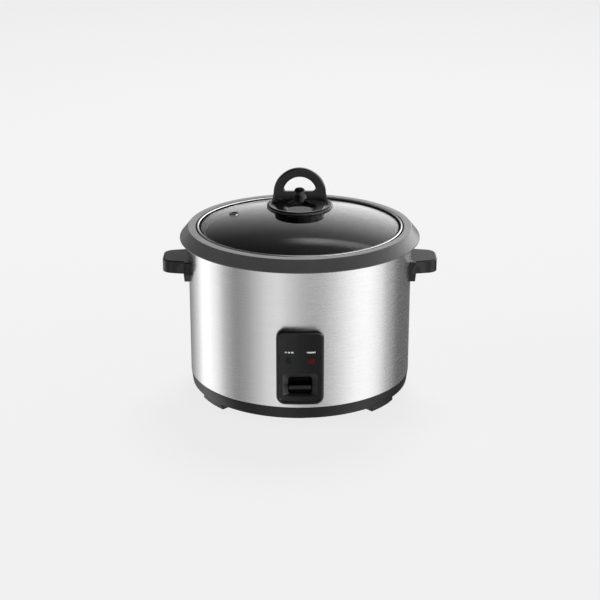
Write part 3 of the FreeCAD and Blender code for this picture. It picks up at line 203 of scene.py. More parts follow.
class Nodes:
    """A short way to add and join shader nodes in one tree."""

    def __init__(self, tree):
        self.tree = tree

    def add(self, kind, settings=None, **inputs):
        node = self.tree.nodes.new(kind)
        for name, value in (settings or {}).items():
            setattr(node, name, value)
        for name, value in inputs.items():
            self.put(node.inputs[name.replace("_", " ")], value)
        return node

    def put(self, socket, value):
        if isinstance(value, bpy.types.NodeSocket):
            self.tree.links.new(value, socket)
        else:
            socket.default_value = value

    def math(self, operation, first, second=0.0):
        node = self.tree.nodes.new("ShaderNodeMath")
        node.operation = operation
        self.put(node.inputs[0], first)
        self.put(node.inputs[1], second)
        return node.outputs[0]

    def weigh(self, first, share, second):
        """A share of the first value with the rest from the second."""
        rest = self.math("MULTIPLY", second, 1 - share)
        return self.math("ADD", self.math("MULTIPLY", first, share), rest)

    def rise(self, value, low, high, interpolation="LINEAR"):
        """0 up to low, 1 from high on."""
        node = self.add("ShaderNodeMapRange", {"interpolation_type": interpolation}, Value=value,
                        From_Min=low, From_Max=high)
        return node.outputs[0]

    def mix(self, share, first, second, blend="MIX"):
        """Two colours mixed, or added with the blend ADD."""
        node = self.add("ShaderNodeMix", {"data_type": "RGBA", "blend_type": blend})
        for place, value in ((0, share), (6, first), (7, second)):
            self.put(node.inputs[place], value)
        return node.outputs[2]

    def ramp(self, value, stops, interpolation="LINEAR"):
        node = self.tree.nodes.new("ShaderNodeValToRGB")
        node.color_ramp.interpolation = interpolation
        elements = node.color_ramp.elements
        while len(elements) < len(stops):
            elements.new(0.5)
        for element, (place, colour) in zip(elements, stops):
            element.position = place
            element.color = grey(colour) if isinstance(colour, float) else colour
        self.put(node.inputs[0], value)
        return node.outputs[0]

    def split(self, coordinates):
        """X, Y and Z of the named coordinates."""
        place = self.add("ShaderNodeTexCoord").outputs[coordinates]
        return self.add("ShaderNodeSeparateXYZ", Vector=place).outputs

    def compass(self, place):
        """Angle round Z from the front, positive to the right."""
        return self.math("ARCTAN2", place["X"], self.math("MULTIPLY", place["Y"], -1.0))


def new_group(name, inputs, outputs):
    """An empty shader group with named values; returns the tree, what it is given and what it puts out."""
    tree = bpy.data.node_groups.new(name, "ShaderNodeTree")
    for label, value in inputs:
        socket = tree.interface.new_socket(label, in_out="INPUT", socket_type="NodeSocketFloat")
        socket.default_value = value
    for label in outputs:
        tree.interface.new_socket(label, in_out="OUTPUT", socket_type="NodeSocketFloat")
    return tree, tree.nodes.new("NodeGroupInput").outputs, tree.nodes.new("NodeGroupOutput").inputs


def make_grain_group():
    """Fine moulded or cast grain: noise on Object coordinates gives a roughness and a bump height."""
    tree, given, made = new_group("fine_grain", [("Scale", 900.0), ("Smoothest", 0.3), ("Roughest", 0.4)],
                                  ["Roughness", "Height", "Smudge"])
    n = Nodes(tree)
    place = n.add("ShaderNodeTexCoord").outputs["Object"]
    fine = n.add("ShaderNodeTexNoise", Vector=place, Scale=given["Scale"], Detail=3.0).outputs["Fac"]
    smudge = n.add("ShaderNodeTexNoise", Vector=place, Scale=28.0, Detail=2.0).outputs["Fac"]
    span = n.math("SUBTRACT", given["Roughest"], given["Smoothest"])
    rough = n.math("ADD", given["Smoothest"], n.math("MULTIPLY", n.weigh(fine, 0.5, smudge), span))
    for label, value in (("Roughness", rough), ("Height", fine), ("Smudge", smudge)):
        n.put(made[label], value)
    return tree


def make_brush_group():
    """Brushing that runs round the upright axis.

    The coordinates are the angle round Z, squeezed, and the height, stretched, so noise turns into long
    thin lines that follow the sheet's curve.
    """
    tree, given, made = new_group("round_brushing", [("Along", 9.0), ("Across", 1600.0)], ["Line", "Patch"])
    n = Nodes(tree)
    place = n.split("Object")
    angle = n.compass(place)
    for label, along, across, noise in (
            ("Line", given["Along"], given["Across"], {"Detail": 4.0, "Roughness": 0.7}),
            ("Patch", 3.0, 160.0, {"Detail": 2.0})):
        stretched = n.add("ShaderNodeCombineXYZ", X=n.math("MULTIPLY", angle, along),
                          Y=n.math("MULTIPLY", place["Z"], across))
        lines = n.add("ShaderNodeTexNoise", Vector=stretched.outputs[0], Scale=1.0, **noise)
        n.put(made[label], lines.outputs["Fac"])
    return tree


GRAIN = make_grain_group()
BRUSHING = make_brush_group()
GRAIN_DEPTH = 0.4 * MM
BRUSH_DEPTH = 0.2 * MM
MIRROR = "Specular IOR Level"


def start_material(name, sockets):
    """A material with one Principled shader; returns it, its nodes and the shader's sockets."""
    material = bpy.data.materials.new(name)
    material.use_nodes = True
    shader = material.node_tree.nodes["Principled BSDF"]
    for label, value in sockets.items():
        shader.inputs[label].default_value = value
    return material, Nodes(material.node_tree), shader.inputs


def add_grain(n, shader, smoothest, roughest, scale, bump):
    """Gives the shader fine grain in gloss and relief; returns the grain's wide smudges."""
    grain = n.add("ShaderNodeGroup", {"node_tree": GRAIN}, Scale=scale, Smoothest=smoothest,
                  Roughest=roughest).outputs
    lift = n.add("ShaderNodeBump", Strength=bump, Distance=GRAIN_DEPTH, Height=grain["Height"])
    n.put(shader["Roughness"], grain["Roughness"])
    n.put(shader["Normal"], lift.outputs["Normal"])
    return grain["Smudge"]


def grained(name, colour, smoothest, roughest, scale, bump, sockets):
    """A moulded, cast or coated finish with fine grain and faint uneven gloss."""
    material, n, shader = start_material(name, sockets)
    smudge = add_grain(n, shader, smoothest, roughest, scale, bump)
    pale = grey(colour) if isinstance(colour, float) else (*colour, 1.0)
    dark = (*(part * 0.86 for part in pale[:3]), 1.0)
    n.put(shader["Base Color"], n.ramp(smudge, [(0.35, dark), (0.65, pale)]))
    return material


def collar_finish(name, skirt, band):
    """Collar plastic: dark grained skirt, with a painted highlight on its flat top: a paler band for the
    light that falls on it.

    The band is where the height Z is at the collar's top and the distance from the axis, the root of
    X squared plus Y squared, is past the rounded lip of the mouth; the lip keeps the skirt's dark tone as
    painted shade in the gap round the lid.
    """
    material, n, shader = start_material(name, {MIRROR: 0.6})
    smudge = add_grain(n, shader, 0.28, 0.36, 1400.0, 0.05)
    place = n.split("Object")
    # Painted highlight on the flat top and painted shade on the mouth's rounded lip, both set in the base
    # colour
    painted_sheen_top = n.rise(place["Z"], COLLAR_TOP - 0.5 * MM, COLLAR_TOP - 0.1 * MM)
    squares = [n.math("MULTIPLY", place[axis], place[axis]) for axis in "XY"]
    from_axis = n.math("SQRT", n.math("ADD", *squares))
    outside_painted_lip_shade = n.rise(from_axis, COLLAR_MOUTH_R + 0.5 * MM, COLLAR_MOUTH_R + 0.8 * MM)
    shade = n.weigh(n.math("MULTIPLY", painted_sheen_top, outside_painted_lip_shade), 0.8, smudge)
    # The band's stops are the painted highlight on the top; the skirt's stops are the collar's own dark tone
    stops = [(0.07, skirt * 0.9), (0.13, skirt), (0.87, band * 0.9), (0.93, band)]
    n.put(shader["Base Color"], n.ramp(shade, stops))
    return material


def brushed(name, level, smoothest, roughest, along, across, bump, anisotropic):
    """Brushed sheet: long lines round the body in colour, gloss and relief."""
    material, n, shader = start_material(name, {"Metallic": 1.0, "Anisotropic": anisotropic,
                                                "Anisotropic Rotation": 0.25})
    lines = n.add("ShaderNodeGroup", {"node_tree": BRUSHING}, Along=along, Across=across).outputs
    shade = n.weigh(lines["Line"], 0.7, lines["Patch"])
    rough = n.add("ShaderNodeMapRange", Value=lines["Line"], From_Min=0.25, From_Max=0.75,
                  To_Min=smoothest, To_Max=roughest)
    lift = n.add("ShaderNodeBump", Strength=bump, Distance=BRUSH_DEPTH, Height=lines["Line"])
    around = n.add("ShaderNodeTangent", {"direction_type": "RADIAL", "axis": "Z"})
    n.put(shader["Base Color"], n.ramp(shade, [(0.3, level * 0.93), (0.7, level)]))
    n.put(shader["Roughness"], rough.outputs[0])
    n.put(shader["Normal"], lift.outputs["Normal"])
    n.put(shader["Tangent"], around.outputs[0])
    return material


def clear_glass(name, colour, rough):
    """Clear glass with a faint uneven gloss."""
    material, n, shader = start_material(name, {"Transmission Weight": 1.0, "IOR": 1.47,
                                                "Base Color": (*colour, 1.0)})
    grain = n.add("ShaderNodeGroup", {"node_tree": GRAIN}, Scale=60.0, Smoothest=0.0, Roughest=rough)
    n.put(shader["Roughness"], grain.outputs["Roughness"])
    return material


# Grained finishes: colour, smoothest and roughest gloss, scale and relief of the grain, plain sockets
METAL = {"Metallic": 1.0}
GRAINED = {
    "bright_steel": (0.90, 0.06, 0.12, 400.0, 0.004, METAL),
    "rim_steel": (0.93, 0.12, 0.18, 400.0, 0.004, METAL),
    # Painted shade: the vent's grommet is steel darkened to near black, for the shade in and round its hole
    "vent_shaded_steel": (0.10, 0.15, 0.25, 400.0, 0.004, METAL),
    "cast_aluminium": (0.60, 0.35, 0.5, 500.0, 0.08, METAL),
    "zinc_screws": ((0.60, 0.60, 0.58), 0.25, 0.38, 600.0, 0.03, METAL),
    "pin_brass": ((0.75, 0.62, 0.36), 0.2, 0.32, 600.0, 0.02, METAL),
    "black_plastic": ((0.009, 0.009, 0.010), 0.28, 0.38, 1400.0, 0.05, {MIRROR: 0.35}),
    "gloss_black": (0.002, 0.05, 0.10, 500.0, 0.006, {}),
    "panel_black": (0.004, 0.10, 0.16, 500.0, 0.006, {MIRROR: 0.36}),
    "post_black": (0.003, 0.10, 0.16, 500.0, 0.006, {MIRROR: 0.25}),
    # Painted light: the lever recess's walls are the panel's black moulding, made paler as if lit
    "recess_painted_light": (0.045, 0.35, 0.45, 900.0, 0.03, {}),
    # Painted shade: a dull near-black for the lever's shutter, the vent's sleeve and the lid's seal,
    # standing for the shade in the lever's throat, the vent's hole and the gap inside the lid's rim
    "shade_black": (0.002, 0.7, 0.8, 500.0, 0.01, {MIRROR: 0.1}),
    "blackened_steel": (0.015, 0.45, 0.55, 700.0, 0.03, {}),
    "foot_rubber": (0.02, 0.6, 0.75, 900.0, 0.1, {}),
    "pot_coating": ((0.022, 0.022, 0.023), 0.28, 0.40, 1800.0, 0.05, {}),
    "green_lens": ((0.003, 0.016, 0.011), 0.10, 0.18, 300.0, 0.01, {MIRROR: 0.2}),
    "red_lens": ((0.075, 0.002, 0.002), 0.10, 0.18, 300.0, 0.01, {MIRROR: 0.2}),
    "ferrite": (0.05, 0.5, 0.65, 700.0, 0.08, {}),
    "ceramic_white": ((0.80, 0.78, 0.72), 0.2, 0.35, 500.0, 0.02, {}),
    "switch_plastic": (0.06, 0.35, 0.5, 900.0, 0.03, {}),
    "inlet_plastic": (0.022, 0.35, 0.48, 1200.0, 0.05, {}),
    "wire_cover": ((0.70, 0.67, 0.60), 0.45, 0.6, 700.0, 0.05, {}),
    "printed_white": (0.80, 0.4, 0.5, 900.0, 0.01, {}),
}
FINISH = {name: grained(name, *values) for name, values in GRAINED.items()}
# Collar: 0.06 is the skirt's own dark tone, 0.19 the painted highlight on its flat top
FINISH["collar_plastic"] = collar_finish("collar_plastic", 0.06, 0.19)
FINISH["brushed_steel"] = brushed("brushed_steel", 0.80, 0.22, 0.30, 5.0, 700.0, 0.004, 0.6)
FINISH["liner_sheet"] = brushed("liner_sheet", 0.55, 0.30, 0.45, 9.0, 900.0, 0.05, 0.3)
FINISH["lid_glass"] = clear_glass("lid_glass", (0.97, 0.985, 0.98), 0.02)
FINISH["neon_glass"] = clear_glass("neon_glass", (0.96, 0.93, 0.88), 0.05)

# Pieces with a finish of their own (the lever's shutter and the vent's grommet darkened as painted shade),
# pieces that neither face of the glass mirrors, and pieces built anew
OWN_FINISH = {"lever_shutter": "shade_black", "knob_post": "post_black", "steam_grommet": "vent_shaded_steel"}
NOT_MIRRORED = ("knob_seat", "knob_post", "knob_screw", "knob_washer")
ABOVE_GLASS = ("knob_seat", "knob_post", "knob_screw")
REBUILT = ("outer_body", "control_panel", "lid_rim", "knob", "sensor_spring", "rod_spring")


# Mesh building


def add_piece(name, mesh, body, slot, stands_for=(), sharp_degrees=None, finish=None):
    """Makes an object of the mesh and puts it on its body, with its finish and its sharp edges marked."""
    if sharp_degrees is not None:
        mesh.set_sharp_from_angle(angle=math.radians(sharp_degrees))
    piece = bpy.data.objects.new(name, mesh)
    bpy.context.scene.collection.objects.link(piece)
    mesh.materials.clear()
    mesh.materials.append(FINISH[finish or slot])
    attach(piece, body)
    if stands_for:
        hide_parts(*stands_for)
    return piece


def join_doubles(mesh, distance, turn_outwards=False):
    """Joins points that lie together, and turns the faces outwards if asked."""
    work = bmesh.new()
    work.from_mesh(mesh)
    bmesh.ops.remove_doubles(work, verts=work.verts, dist=distance)
    if turn_outwards:
        bmesh.ops.recalc_face_normals(work, faces=work.faces)
    work.to_mesh(mesh)
    work.free()
    mesh.shade_smooth()


def smooth_copy(node):
    """The node's own shape as a joined mesh, shaded smooth except at its real edges."""
    mesh = frame["nodes"][node].data.copy()
    join_doubles(mesh, 2e-6)
    piece = add_piece(node + "_finished", mesh, BODY_OF[node], SLOT_OF[node], [node], NODE_SHARP,
                      OWN_FINISH.get(node))
    piece.visible_glossy = node not in NOT_MIRRORED
    piece.visible_transmission = node not in ABOVE_GLASS
    even = piece.modifiers.new("even", "WEIGHTED_NORMAL")
    even.keep_sharp = True
    even.weight = 80


def grid_mesh(name, points, keep=None, closed_u=False):
    """A mesh from an array of points [u, v, xyz]; keep is a mask of the quads that are made."""
    rows, columns = points.shape[:2]
    at = np.arange(rows * columns).reshape(rows, columns)
    if closed_u:
        at = np.vstack([at, at[:1]])
    quads = np.stack([at[:-1, :-1], at[1:, :-1], at[1:, 1:], at[:-1, 1:]], axis=-1)
    quads = quads[keep] if keep is not None else quads.reshape(-1, 4)
    mesh = bpy.data.meshes.new(name)
    mesh.from_pydata(points.reshape(-1, 3), [], quads.tolist())
    mesh.update()
    mesh.shade_smooth()
    return mesh


def lathe(name, profile, count=288):
    """A mesh that turns a closed profile of (radius, height) points round Z."""
    profile = np.asarray(profile, float)
    profile = np.vstack([profile, profile[:1]])
    turn = np.arange(count)[:, None] * TURN / count
    points = np.stack([profile[:, 0] * np.cos(turn), profile[:, 0] * np.sin(turn),
                       np.broadcast_to(profile[:, 1], (count, len(profile)))], axis=-1)
    mesh = grid_mesh(name, points, closed_u=True)
    join_doubles(mesh, 1e-6, turn_outwards=True)
    return mesh


def make_steel_body():
    """Outer skin: radius BODY_R at angle u from the front and height v, with an inward hem at both ends.

    The quads behind the inlet and behind the lever's recess are left out, so that both stay open.
    """
    inlet_half = math.asin((inlet_high.x - INLET_EDGE) / BODY_R)
    slot_half = math.asin(SLOT_HALF / BODY_R)
    inlet_span = (inlet_low.z + INLET_FOOT_EDGE, inlet_high.z - INLET_EDGE)
    edges = [-math.pi + inlet_half, -slot_half, slot_half, math.pi - inlet_half, math.pi + inlet_half]
    counts = (160, 9, 160, 9)
    angles = np.concatenate([np.linspace(low, high, count, endpoint=False)
                             for low, high, count in zip(edges, edges[1:], counts)])
    stages = sorted([BODY_FOOT + SHEET_HEM_H / 2, *inlet_span, *SLOT_SPAN, BODY_TOP - SHEET_HEM_H / 2])
    near_ends = [BODY_FOOT, BODY_FOOT + SHEET_HEM_H, BODY_TOP - SHEET_HEM_H, BODY_TOP]
    between = [np.linspace(low, high, 7) for low, high in zip(stages, stages[1:])]
    heights = np.unique(np.concatenate([near_ends] + between).round(7))
    radius = np.full_like(heights, BODY_R)
    radius[[0, -1]] -= SHEET_HEM
    u = angles[:, None]
    level = np.broadcast_to(heights, (len(angles), len(heights)))
    points = np.stack([radius * np.sin(u), -radius * np.cos(u), level], axis=-1)
    inside_quad = TURN / 720
    mid_u = (angles + inside_quad)[:, None]
    mid_v = ((heights[:-1] + heights[1:]) / 2)[None, :]
    at_inlet = (mid_u > edges[3]) & (mid_v > inlet_span[0]) & (mid_v < inlet_span[1])
    at_slot = (abs(mid_u) < slot_half) & (mid_v > SLOT_SPAN[0]) & (mid_v < SLOT_SPAN[1])
    mesh = grid_mesh("steel_body", points, ~(at_inlet | at_slot), closed_u=True)
    piece = add_piece("steel_body", mesh, "housing", "brushed_steel", ["outer_body"])
    wall = piece.modifiers.new("sheet", "SOLIDIFY")
    wall.thickness = SHEET_T
    wall.offset = -1.0


def rounded_loop(half, low, high, radius, arc=8, side=10):
    """Points (x, z) round a rectangle with rounded corners, the same count for every size."""
    middles = [(half - radius, high - radius), (radius - half, high - radius),
               (radius - half, low + radius), (half - radius, low + radius)]
    corners = []
    for k, (x, z) in enumerate(middles):
        turn = (k + np.linspace(0, 1, arc + 1)) * math.pi / 2
        corners.append(np.stack([x + radius * np.cos(turn), z + radius * np.sin(turn)], axis=1))
    loop = []
    for k, corner in enumerate(corners):
        step = np.linspace(0, 1, side + 1)[1:-1, None]
        loop += [corner, corner[-1] * (1 - step) + corners[(k + 1) % 4][0] * step]
    return np.concatenate(loop)


def make_panel_cover():
    """Control panel as rings of points from its foot on the steel to the throat of the lever's recess.

    A ring is a rounded rectangle (x, z) laid on an upright cylinder of radius R, so y = -sqrt(R^2 - x^2).
    The rings climb the side wall, turn over the bezel's quarter round, drop to the face, cross it to the
    mouth of the recess and go down its sloping walls.
    """
    top_r = -panel_low.y
    rings = []

    def frame_ring(inset, radius):
        loop = rounded_loop(panel_high.x - inset, panel_low.z + inset, panel_high.z - inset,
                            PANEL_CORNER - inset)
        rings.append((loop, radius))

    for radius in np.linspace(BODY_R + PANEL_OFF_STEEL, top_r - BEZEL_ROUND, 4):
        frame_ring(0.0, radius)
    for turn in np.linspace(0, math.pi / 2, 8)[1:]:
        frame_ring(BEZEL_ROUND * (1 - math.cos(turn)), top_r - BEZEL_ROUND * (1 - math.sin(turn)))
    for share in np.linspace(0, 1, 7)[1:]:
        drop = (1 - math.cos(math.pi * share)) / 2
        frame_ring(BEZEL_ROUND + BEZEL_LIP + share * BEZEL_SLOPE, top_r + (PANEL_FACE_R - top_r) * drop)
    outer = rings[-1][0]
    mouth = rounded_loop(MOUTH_HALF, SLOT_SPAN[0], MOUTH_TOP, MOUTH_CORNER)
    for share in np.linspace(0, 1, 10)[1:]:
        rings.append((outer * (1 - share) + mouth * share, PANEL_FACE_R))
    points = [np.stack([loop[:, 0], -np.sqrt(radius ** 2 - loop[:, 0] ** 2), loop[:, 1]], axis=1)
              for loop, radius in rings]
    throat = rounded_loop(SLOT_HALF, SLOT_SPAN[0] + SLOT_SILL, SLOT_SPAN[1], SLOT_CORNER)
    start = points[-1]
    end = np.stack([throat[:, 0], np.full(len(throat), -PANEL_FACE_R + RECESS_DEPTH), throat[:, 1]], axis=1)
    for share in (0.04, 0.12, 0.3, 0.6, 0.88, 1.0):
        points.append(start * (1 - share) + end * share)
    inner = end.copy()
    inner[:, 1] = -BODY_R + RECESS_PAST_STEEL
    points.append(inner)
    mouth_at = len(rings)
    # The recess's walls take the paler black of painted light; the cover keeps the panel's own black
    for name, span, finish in (("panel_cover", points[:mouth_at], "panel_black"),
                               ("panel_recess", points[mouth_at - 1:], "recess_painted_light")):
        mesh = grid_mesh(name, np.stack(span, axis=1)[::-1], closed_u=True)
        add_piece(name, mesh, "housing", "gloss_black", ["control_panel"], PANEL_SHARP, finish)


def make_lid_rim():
    """Rolled rim, as profiles turned round Z.

    The rim is a steel band with one half-round bead on its outer edge. A seal lies between the bead
    and the glass; its near-black, dull finish is partly painted shade for the gap there.
    """
    outer = rim_high.x
    middle = outer - BEAD_INSET - BEAD_R
    band = [(outer - inward * MM, rim_low.z + up * MM) for inward, up in RIM_FOOT]
    for turn in np.linspace(0, math.pi, 17):
        band.append((middle + BEAD_R * math.cos(turn), rim_high.z - BEAD_R + BEAD_R * math.sin(turn)))
    band += [(outer - inward * MM, rim_high.z - down * MM) for inward, down in RIM_LEDGE]
    add_piece("lid_rim_rolled", lathe("lid_rim_rolled", band), "lid", "bright_steel", ["lid_rim"], RIM_SHARP,
              "rim_steel")
    seal = [(outer - inward * MM, rim_high.z - down * MM) for inward, down in SEAL]
    add_piece("lid_seal", lathe("lid_seal", seal), "lid", "foot_rubber", (), RIM_SHARP, "shade_black")


def eye_and_arch(count):
    """Outlines (x, z) of the hoop's eye and of its outer edge, read along the same rays from inside the eye.

    The eye is a circle of EYE_R cut off at its floor, with rounded corners. The outer edge is a circle of
    ARCH_R that runs on in straight flared sides down to a flat root.
    """
    eye_z = HOOP_Z + EYE_RISE
    floor = HOOP_Z + EYE_FLOOR
    corner_z = floor + EYE_CORNER
    corner_x = math.sqrt((EYE_R - EYE_CORNER) ** 2 - (corner_z - eye_z) ** 2)
    lean = math.atan2(corner_z - eye_z, corner_x)

    def arc(x, z, radius, start, end, steps):
        turn = np.linspace(start, end, steps)
        return np.stack([x + radius * np.cos(turn), z + radius * np.sin(turn)], axis=1)

    eye = np.concatenate([
        arc(0.0, eye_z, EYE_R, lean, math.pi - lean, 90),
        arc(-corner_x, corner_z, EYE_CORNER, math.pi - lean, 1.5 * math.pi, 24),
        np.linspace((-corner_x, floor), (corner_x, floor), 60)[1:-1],
        arc(corner_x, corner_z, EYE_CORNER, -math.pi / 2, lean, 24)])
    root = FLANGE_TOP - HOOP_ROOT
    arch = np.concatenate([
        arc(0.0, HOOP_Z, ARCH_R, 0, math.pi, 120),
        np.linspace((-ARCH_R, HOOP_Z), (-HOOP_FLARE, root), 40)[1:],
        np.linspace((-HOOP_FLARE, root), (HOOP_FLARE, root), 120)[1:],
        np.linspace((HOOP_FLARE, root), (ARCH_R, HOOP_Z), 40)[1:-1]])
    middle = np.array([0.0, HOOP_Z + EYE_MIDDLE])
    angles = np.arange(count) * TURN / count
    rays = np.stack([np.cos(angles), np.sin(angles)], axis=1)
    outlines = []
    for outline in (eye, arch):
        from_middle = outline - middle
        turn = np.arctan2(from_middle[:, 1], from_middle[:, 0]) % TURN
        order = np.argsort(turn)
        reach = np.interp(angles, turn[order], np.linalg.norm(from_middle, axis=1)[order], period=TURN)
        outlines.append(middle + rays * reach[:, None])
    return outlines


def make_hoop():
    """Hoop grip: a flat section of thickness HOOP_T with rounded corners, from the eye to the outer edge."""
    eye, arch = eye_and_arch(480)
    across = arch - eye
    width = np.linalg.norm(across, axis=1)
    across /= width[:, None]
    quarter = [(HOOP_ROUND * (1 - math.sin(turn)), HOOP_T / 2 - HOOP_ROUND + HOOP_ROUND * math.cos(turn))
               for turn in np.linspace(0, math.pi / 2, 6)]
    section = []
    for side in (-1, 1):
        half = [(0, inset, side * y) for inset, y in quarter[::-1]]
        half += [(share, HOOP_ROUND * (1 - 2 * share), side * HOOP_T / 2) for share in (0.2, 0.5, 0.8)]
        half += [(1, -inset, side * y) for inset, y in quarter]
        section += half[::-side]
    rows = []
    for share, inset, y in section + section[:1]:
        place = eye + across * (width * share + inset)[:, None]
        rows.append(np.stack([place[:, 0], np.full(len(place), y), place[:, 1]], axis=1))
    return grid_mesh("knob_hoop", np.stack(rows, axis=1), closed_u=True)


def make_foot(side):
    """Foot of the hoop on one side: a ramp from the flange's edge up to the hoop, scooped before the post.

    With s across and t from the hoop (0) to the edge (1), the height over the flange is FOOT_SLOPE times
    the length times (1 - t), plus a bulge in x times (1 - t)^3. A smooth step takes it down to 0 inside half
    an ellipse before the post, which runs on straight to the edge.
    """
    s = np.concatenate([[-1.0], np.linspace(-1, 1, 91), [1.0]])[:, None]
    t = np.linspace(0, 1, 41)[None, :]
    x = s * (FOOT_HALF - FOOT_TAPER * t)
    front = np.sqrt(FOOT_REACH ** 2 - x ** 2)
    back = HOOP_T / 2 - FOOT_IN_HOOP
    y = back + t * (front - back)
    bulge = FOOT_BULGE[0] + FOOT_BULGE[1] * np.exp(-(x / FOOT_BULGE_HALF) ** 2)
    ramp = FOOT_SLOPE * (front - back) * (1 - t) + bulge * (1 - t) ** 3
    far = np.hypot(x / SCOOP_HALF, np.minimum(y - SCOOP_END, 0) / SCOOP_LENGTH)
    step = np.clip((far - SCOOP_START) / SCOOP_RISE, 0, 1)
    z = FLANGE_TOP - FOOT_IN_FLANGE + ramp * step * step * (3 - 2 * step)
    z[[0, -1]] = FLANGE_TOP - FOOT_SIDES_IN_FLANGE
    points = np.stack([x + 0 * t, side * y, z], axis=-1)
    return grid_mesh("knob_foot", points if side > 0 else points[::-1])


def make_knob():
    """Knob: a round flange with a rolled edge, the hoop grip and its foot on both sides, as one piece."""
    turn = np.linspace(-math.pi / 2, math.pi / 2, 15)
    middle = FLANGE_R - FLANGE_ROUND
    flange = [(FLANGE_HOLE_R, knob_low.z)]
    for level, angles in ((knob_low.z + FLANGE_ROUND, turn[:8]), (FLANGE_TOP - FLANGE_ROUND, turn[7:])):
        flange += [(middle + FLANGE_ROUND * math.cos(a), level + FLANGE_ROUND * math.sin(a)) for a in angles]
    flange += [(radius, FLANGE_TOP - down) for radius, down in FLANGE_DISH]
    work = bmesh.new()
    for mesh in (lathe("knob_flange", flange, 192), make_hoop(), make_foot(-1), make_foot(1)):
        work.from_mesh(mesh)
    whole = bpy.data.meshes.new("knob_whole")
    work.to_mesh(whole)
    work.free()
    whole.shade_smooth()
    piece = add_piece("knob_whole", whole, "lid", SLOT_OF["knob"], ["knob"], KNOB_SHARP)
    piece.visible_glossy = False
    piece.visible_transmission = False


def make_vent_shade_sleeve():
    """A black sleeve in the vent's hole as painted shade, along the direction in which the grommet's points
    spread least.
    """
    mesh = frame["nodes"]["steam_grommet"].data
    points = np.array([vertex.co for vertex in mesh.vertices])
    middle = (points.min(axis=0) + points.max(axis=0)) / 2
    axis = np.linalg.svd(points - points.mean(axis=0), full_matrices=False)[2][2]
    axis *= np.sign(axis[2])
    along = (points - middle) @ axis
    bore = np.linalg.norm(points - middle - along[:, None] * axis, axis=1).min() - SLEEVE_GAP
    side = np.cross(axis, (1.0, 0.0, 0.0))
    side /= np.linalg.norm(side)
    turn = np.arange(48)[:, None] * TURN / 48
    across = bore * (np.cos(turn) * side + np.sin(turn) * np.cross(axis, side))
    levels = np.linspace(along.min() + SLEEVE_ENDS[0], along.max() - SLEEVE_ENDS[1], 5)
    rows = middle + across[:, None] + levels[None, :, None] * axis
    add_piece("vent_shade_sleeve", grid_mesh("vent_shade_sleeve", rows, closed_u=True), "lid", "foot_rubber",
              finish="shade_black")


def make_coil(node, turns, wire):
    """Spring: a wire of a given diameter on a helix, r = R, z rising with the turn and flat at both ends."""
    low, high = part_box(node)
    count = int(turns * 40)
    flat_turns = 0.8
    t = np.linspace(0, 1, count)
    rise = np.clip((t * turns - flat_turns) / (turns - 2 * flat_turns), 0, 1)
    turn = t * turns * TURN
    radius = high.x - wire / 2
    middle = np.stack([radius * np.cos(turn), radius * np.sin(turn),
                       low.z + wire / 2 + rise * (high.z - low.z - wire)], axis=1)
    outward = np.stack([np.cos(turn), np.sin(turn), np.zeros(count)], axis=1)
    around = np.linspace(0, TURN, 13)[:12]
    points = (middle[:, None] + outward[:, None] * (wire / 2 * np.cos(around))[None, :, None]
              + np.array([0, 0, 1.0]) * (wire / 2 * np.sin(around))[None, :, None])
    mesh = grid_mesh(node + "_coil", np.swapaxes(points, 0, 1), closed_u=True)
    coil = add_piece(node + "_coil", mesh, BODY_OF[node], SLOT_OF[node], [node])
    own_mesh(coil)


def print_bar(name, middle, half, count):
    """A printed bar: a strip of points (across, height) bent round the panel's face, just over it."""
    across = np.linspace(middle - half, middle + half, count)
    low = LAMP_Z + MARK_OVER_LAMP - MARK_H / 2
    radius = PANEL_FACE_R + INK_OVER_FACE
    turn = np.stack([across, across], axis=1) / radius
    level = np.broadcast_to((low, low + MARK_H), turn.shape)
    points = np.stack([radius * np.sin(turn), -radius * np.cos(turn), level], axis=-1)
    piece = add_piece(name, grid_mesh(name, points), "housing", "gloss_black", finish="printed_white")
    skin = piece.modifiers.new("ink", "SOLIDIFY")
    skin.thickness = INK_T


def make_panel_marks():
    """Plain printed marks over the lamps: three short bars on the left and one long bar on the right."""
    for i in range(3):
        print_bar(f"warm_mark_{i + 1}", -LAMP_X + (i - 1) * WARM_MARK_STEP, WARM_MARK_HALF, 3)
    print_bar("cook_mark", LAMP_X, COOK_MARK_HALF, 7)


# Studio


def make_floor():
    """Pale ground: for the camera mostly a plain tone, with the cooker's shadow kept in a share of it."""
    mesh = bpy.data.meshes.new("floor")
    corners = [(-1, -1), (1, -1), (1, 1), (-1, 1)]
    mesh.from_pydata([(x * FLOOR_HALF, y * FLOOR_HALF, 0) for x, y in corners], [], [(0, 1, 2, 3)])
    floor = bpy.data.objects.new("floor", mesh)
    bpy.context.scene.collection.objects.link(floor)
    material = bpy.data.materials.new("floor")
    material.use_nodes = True
    n = Nodes(material.node_tree)
    material.node_tree.nodes.remove(material.node_tree.nodes["Principled BSDF"])
    matte = n.add("ShaderNodeBsdfDiffuse", Color=grey(FLOOR_TONE))
    plain = n.add("ShaderNodeEmission", Color=grey(FLOOR_TONE), Strength=1.0)
    seen = n.add("ShaderNodeLightPath")
    rays = n.math("MAXIMUM", seen.outputs["Is Camera Ray"], seen.outputs["Is Transmission Ray"])
    mix = n.add("ShaderNodeMixShader", Fac=n.math("MULTIPLY", rays, FLOOR_PLAIN))
    n.put(mix.inputs[1], matte.outputs[0])
    n.put(mix.inputs[2], plain.outputs[0])
    n.put(material.node_tree.nodes["Material Output"].inputs["Surface"], mix.outputs[0])
    floor.visible_glossy = False
    mesh.materials.append(material)


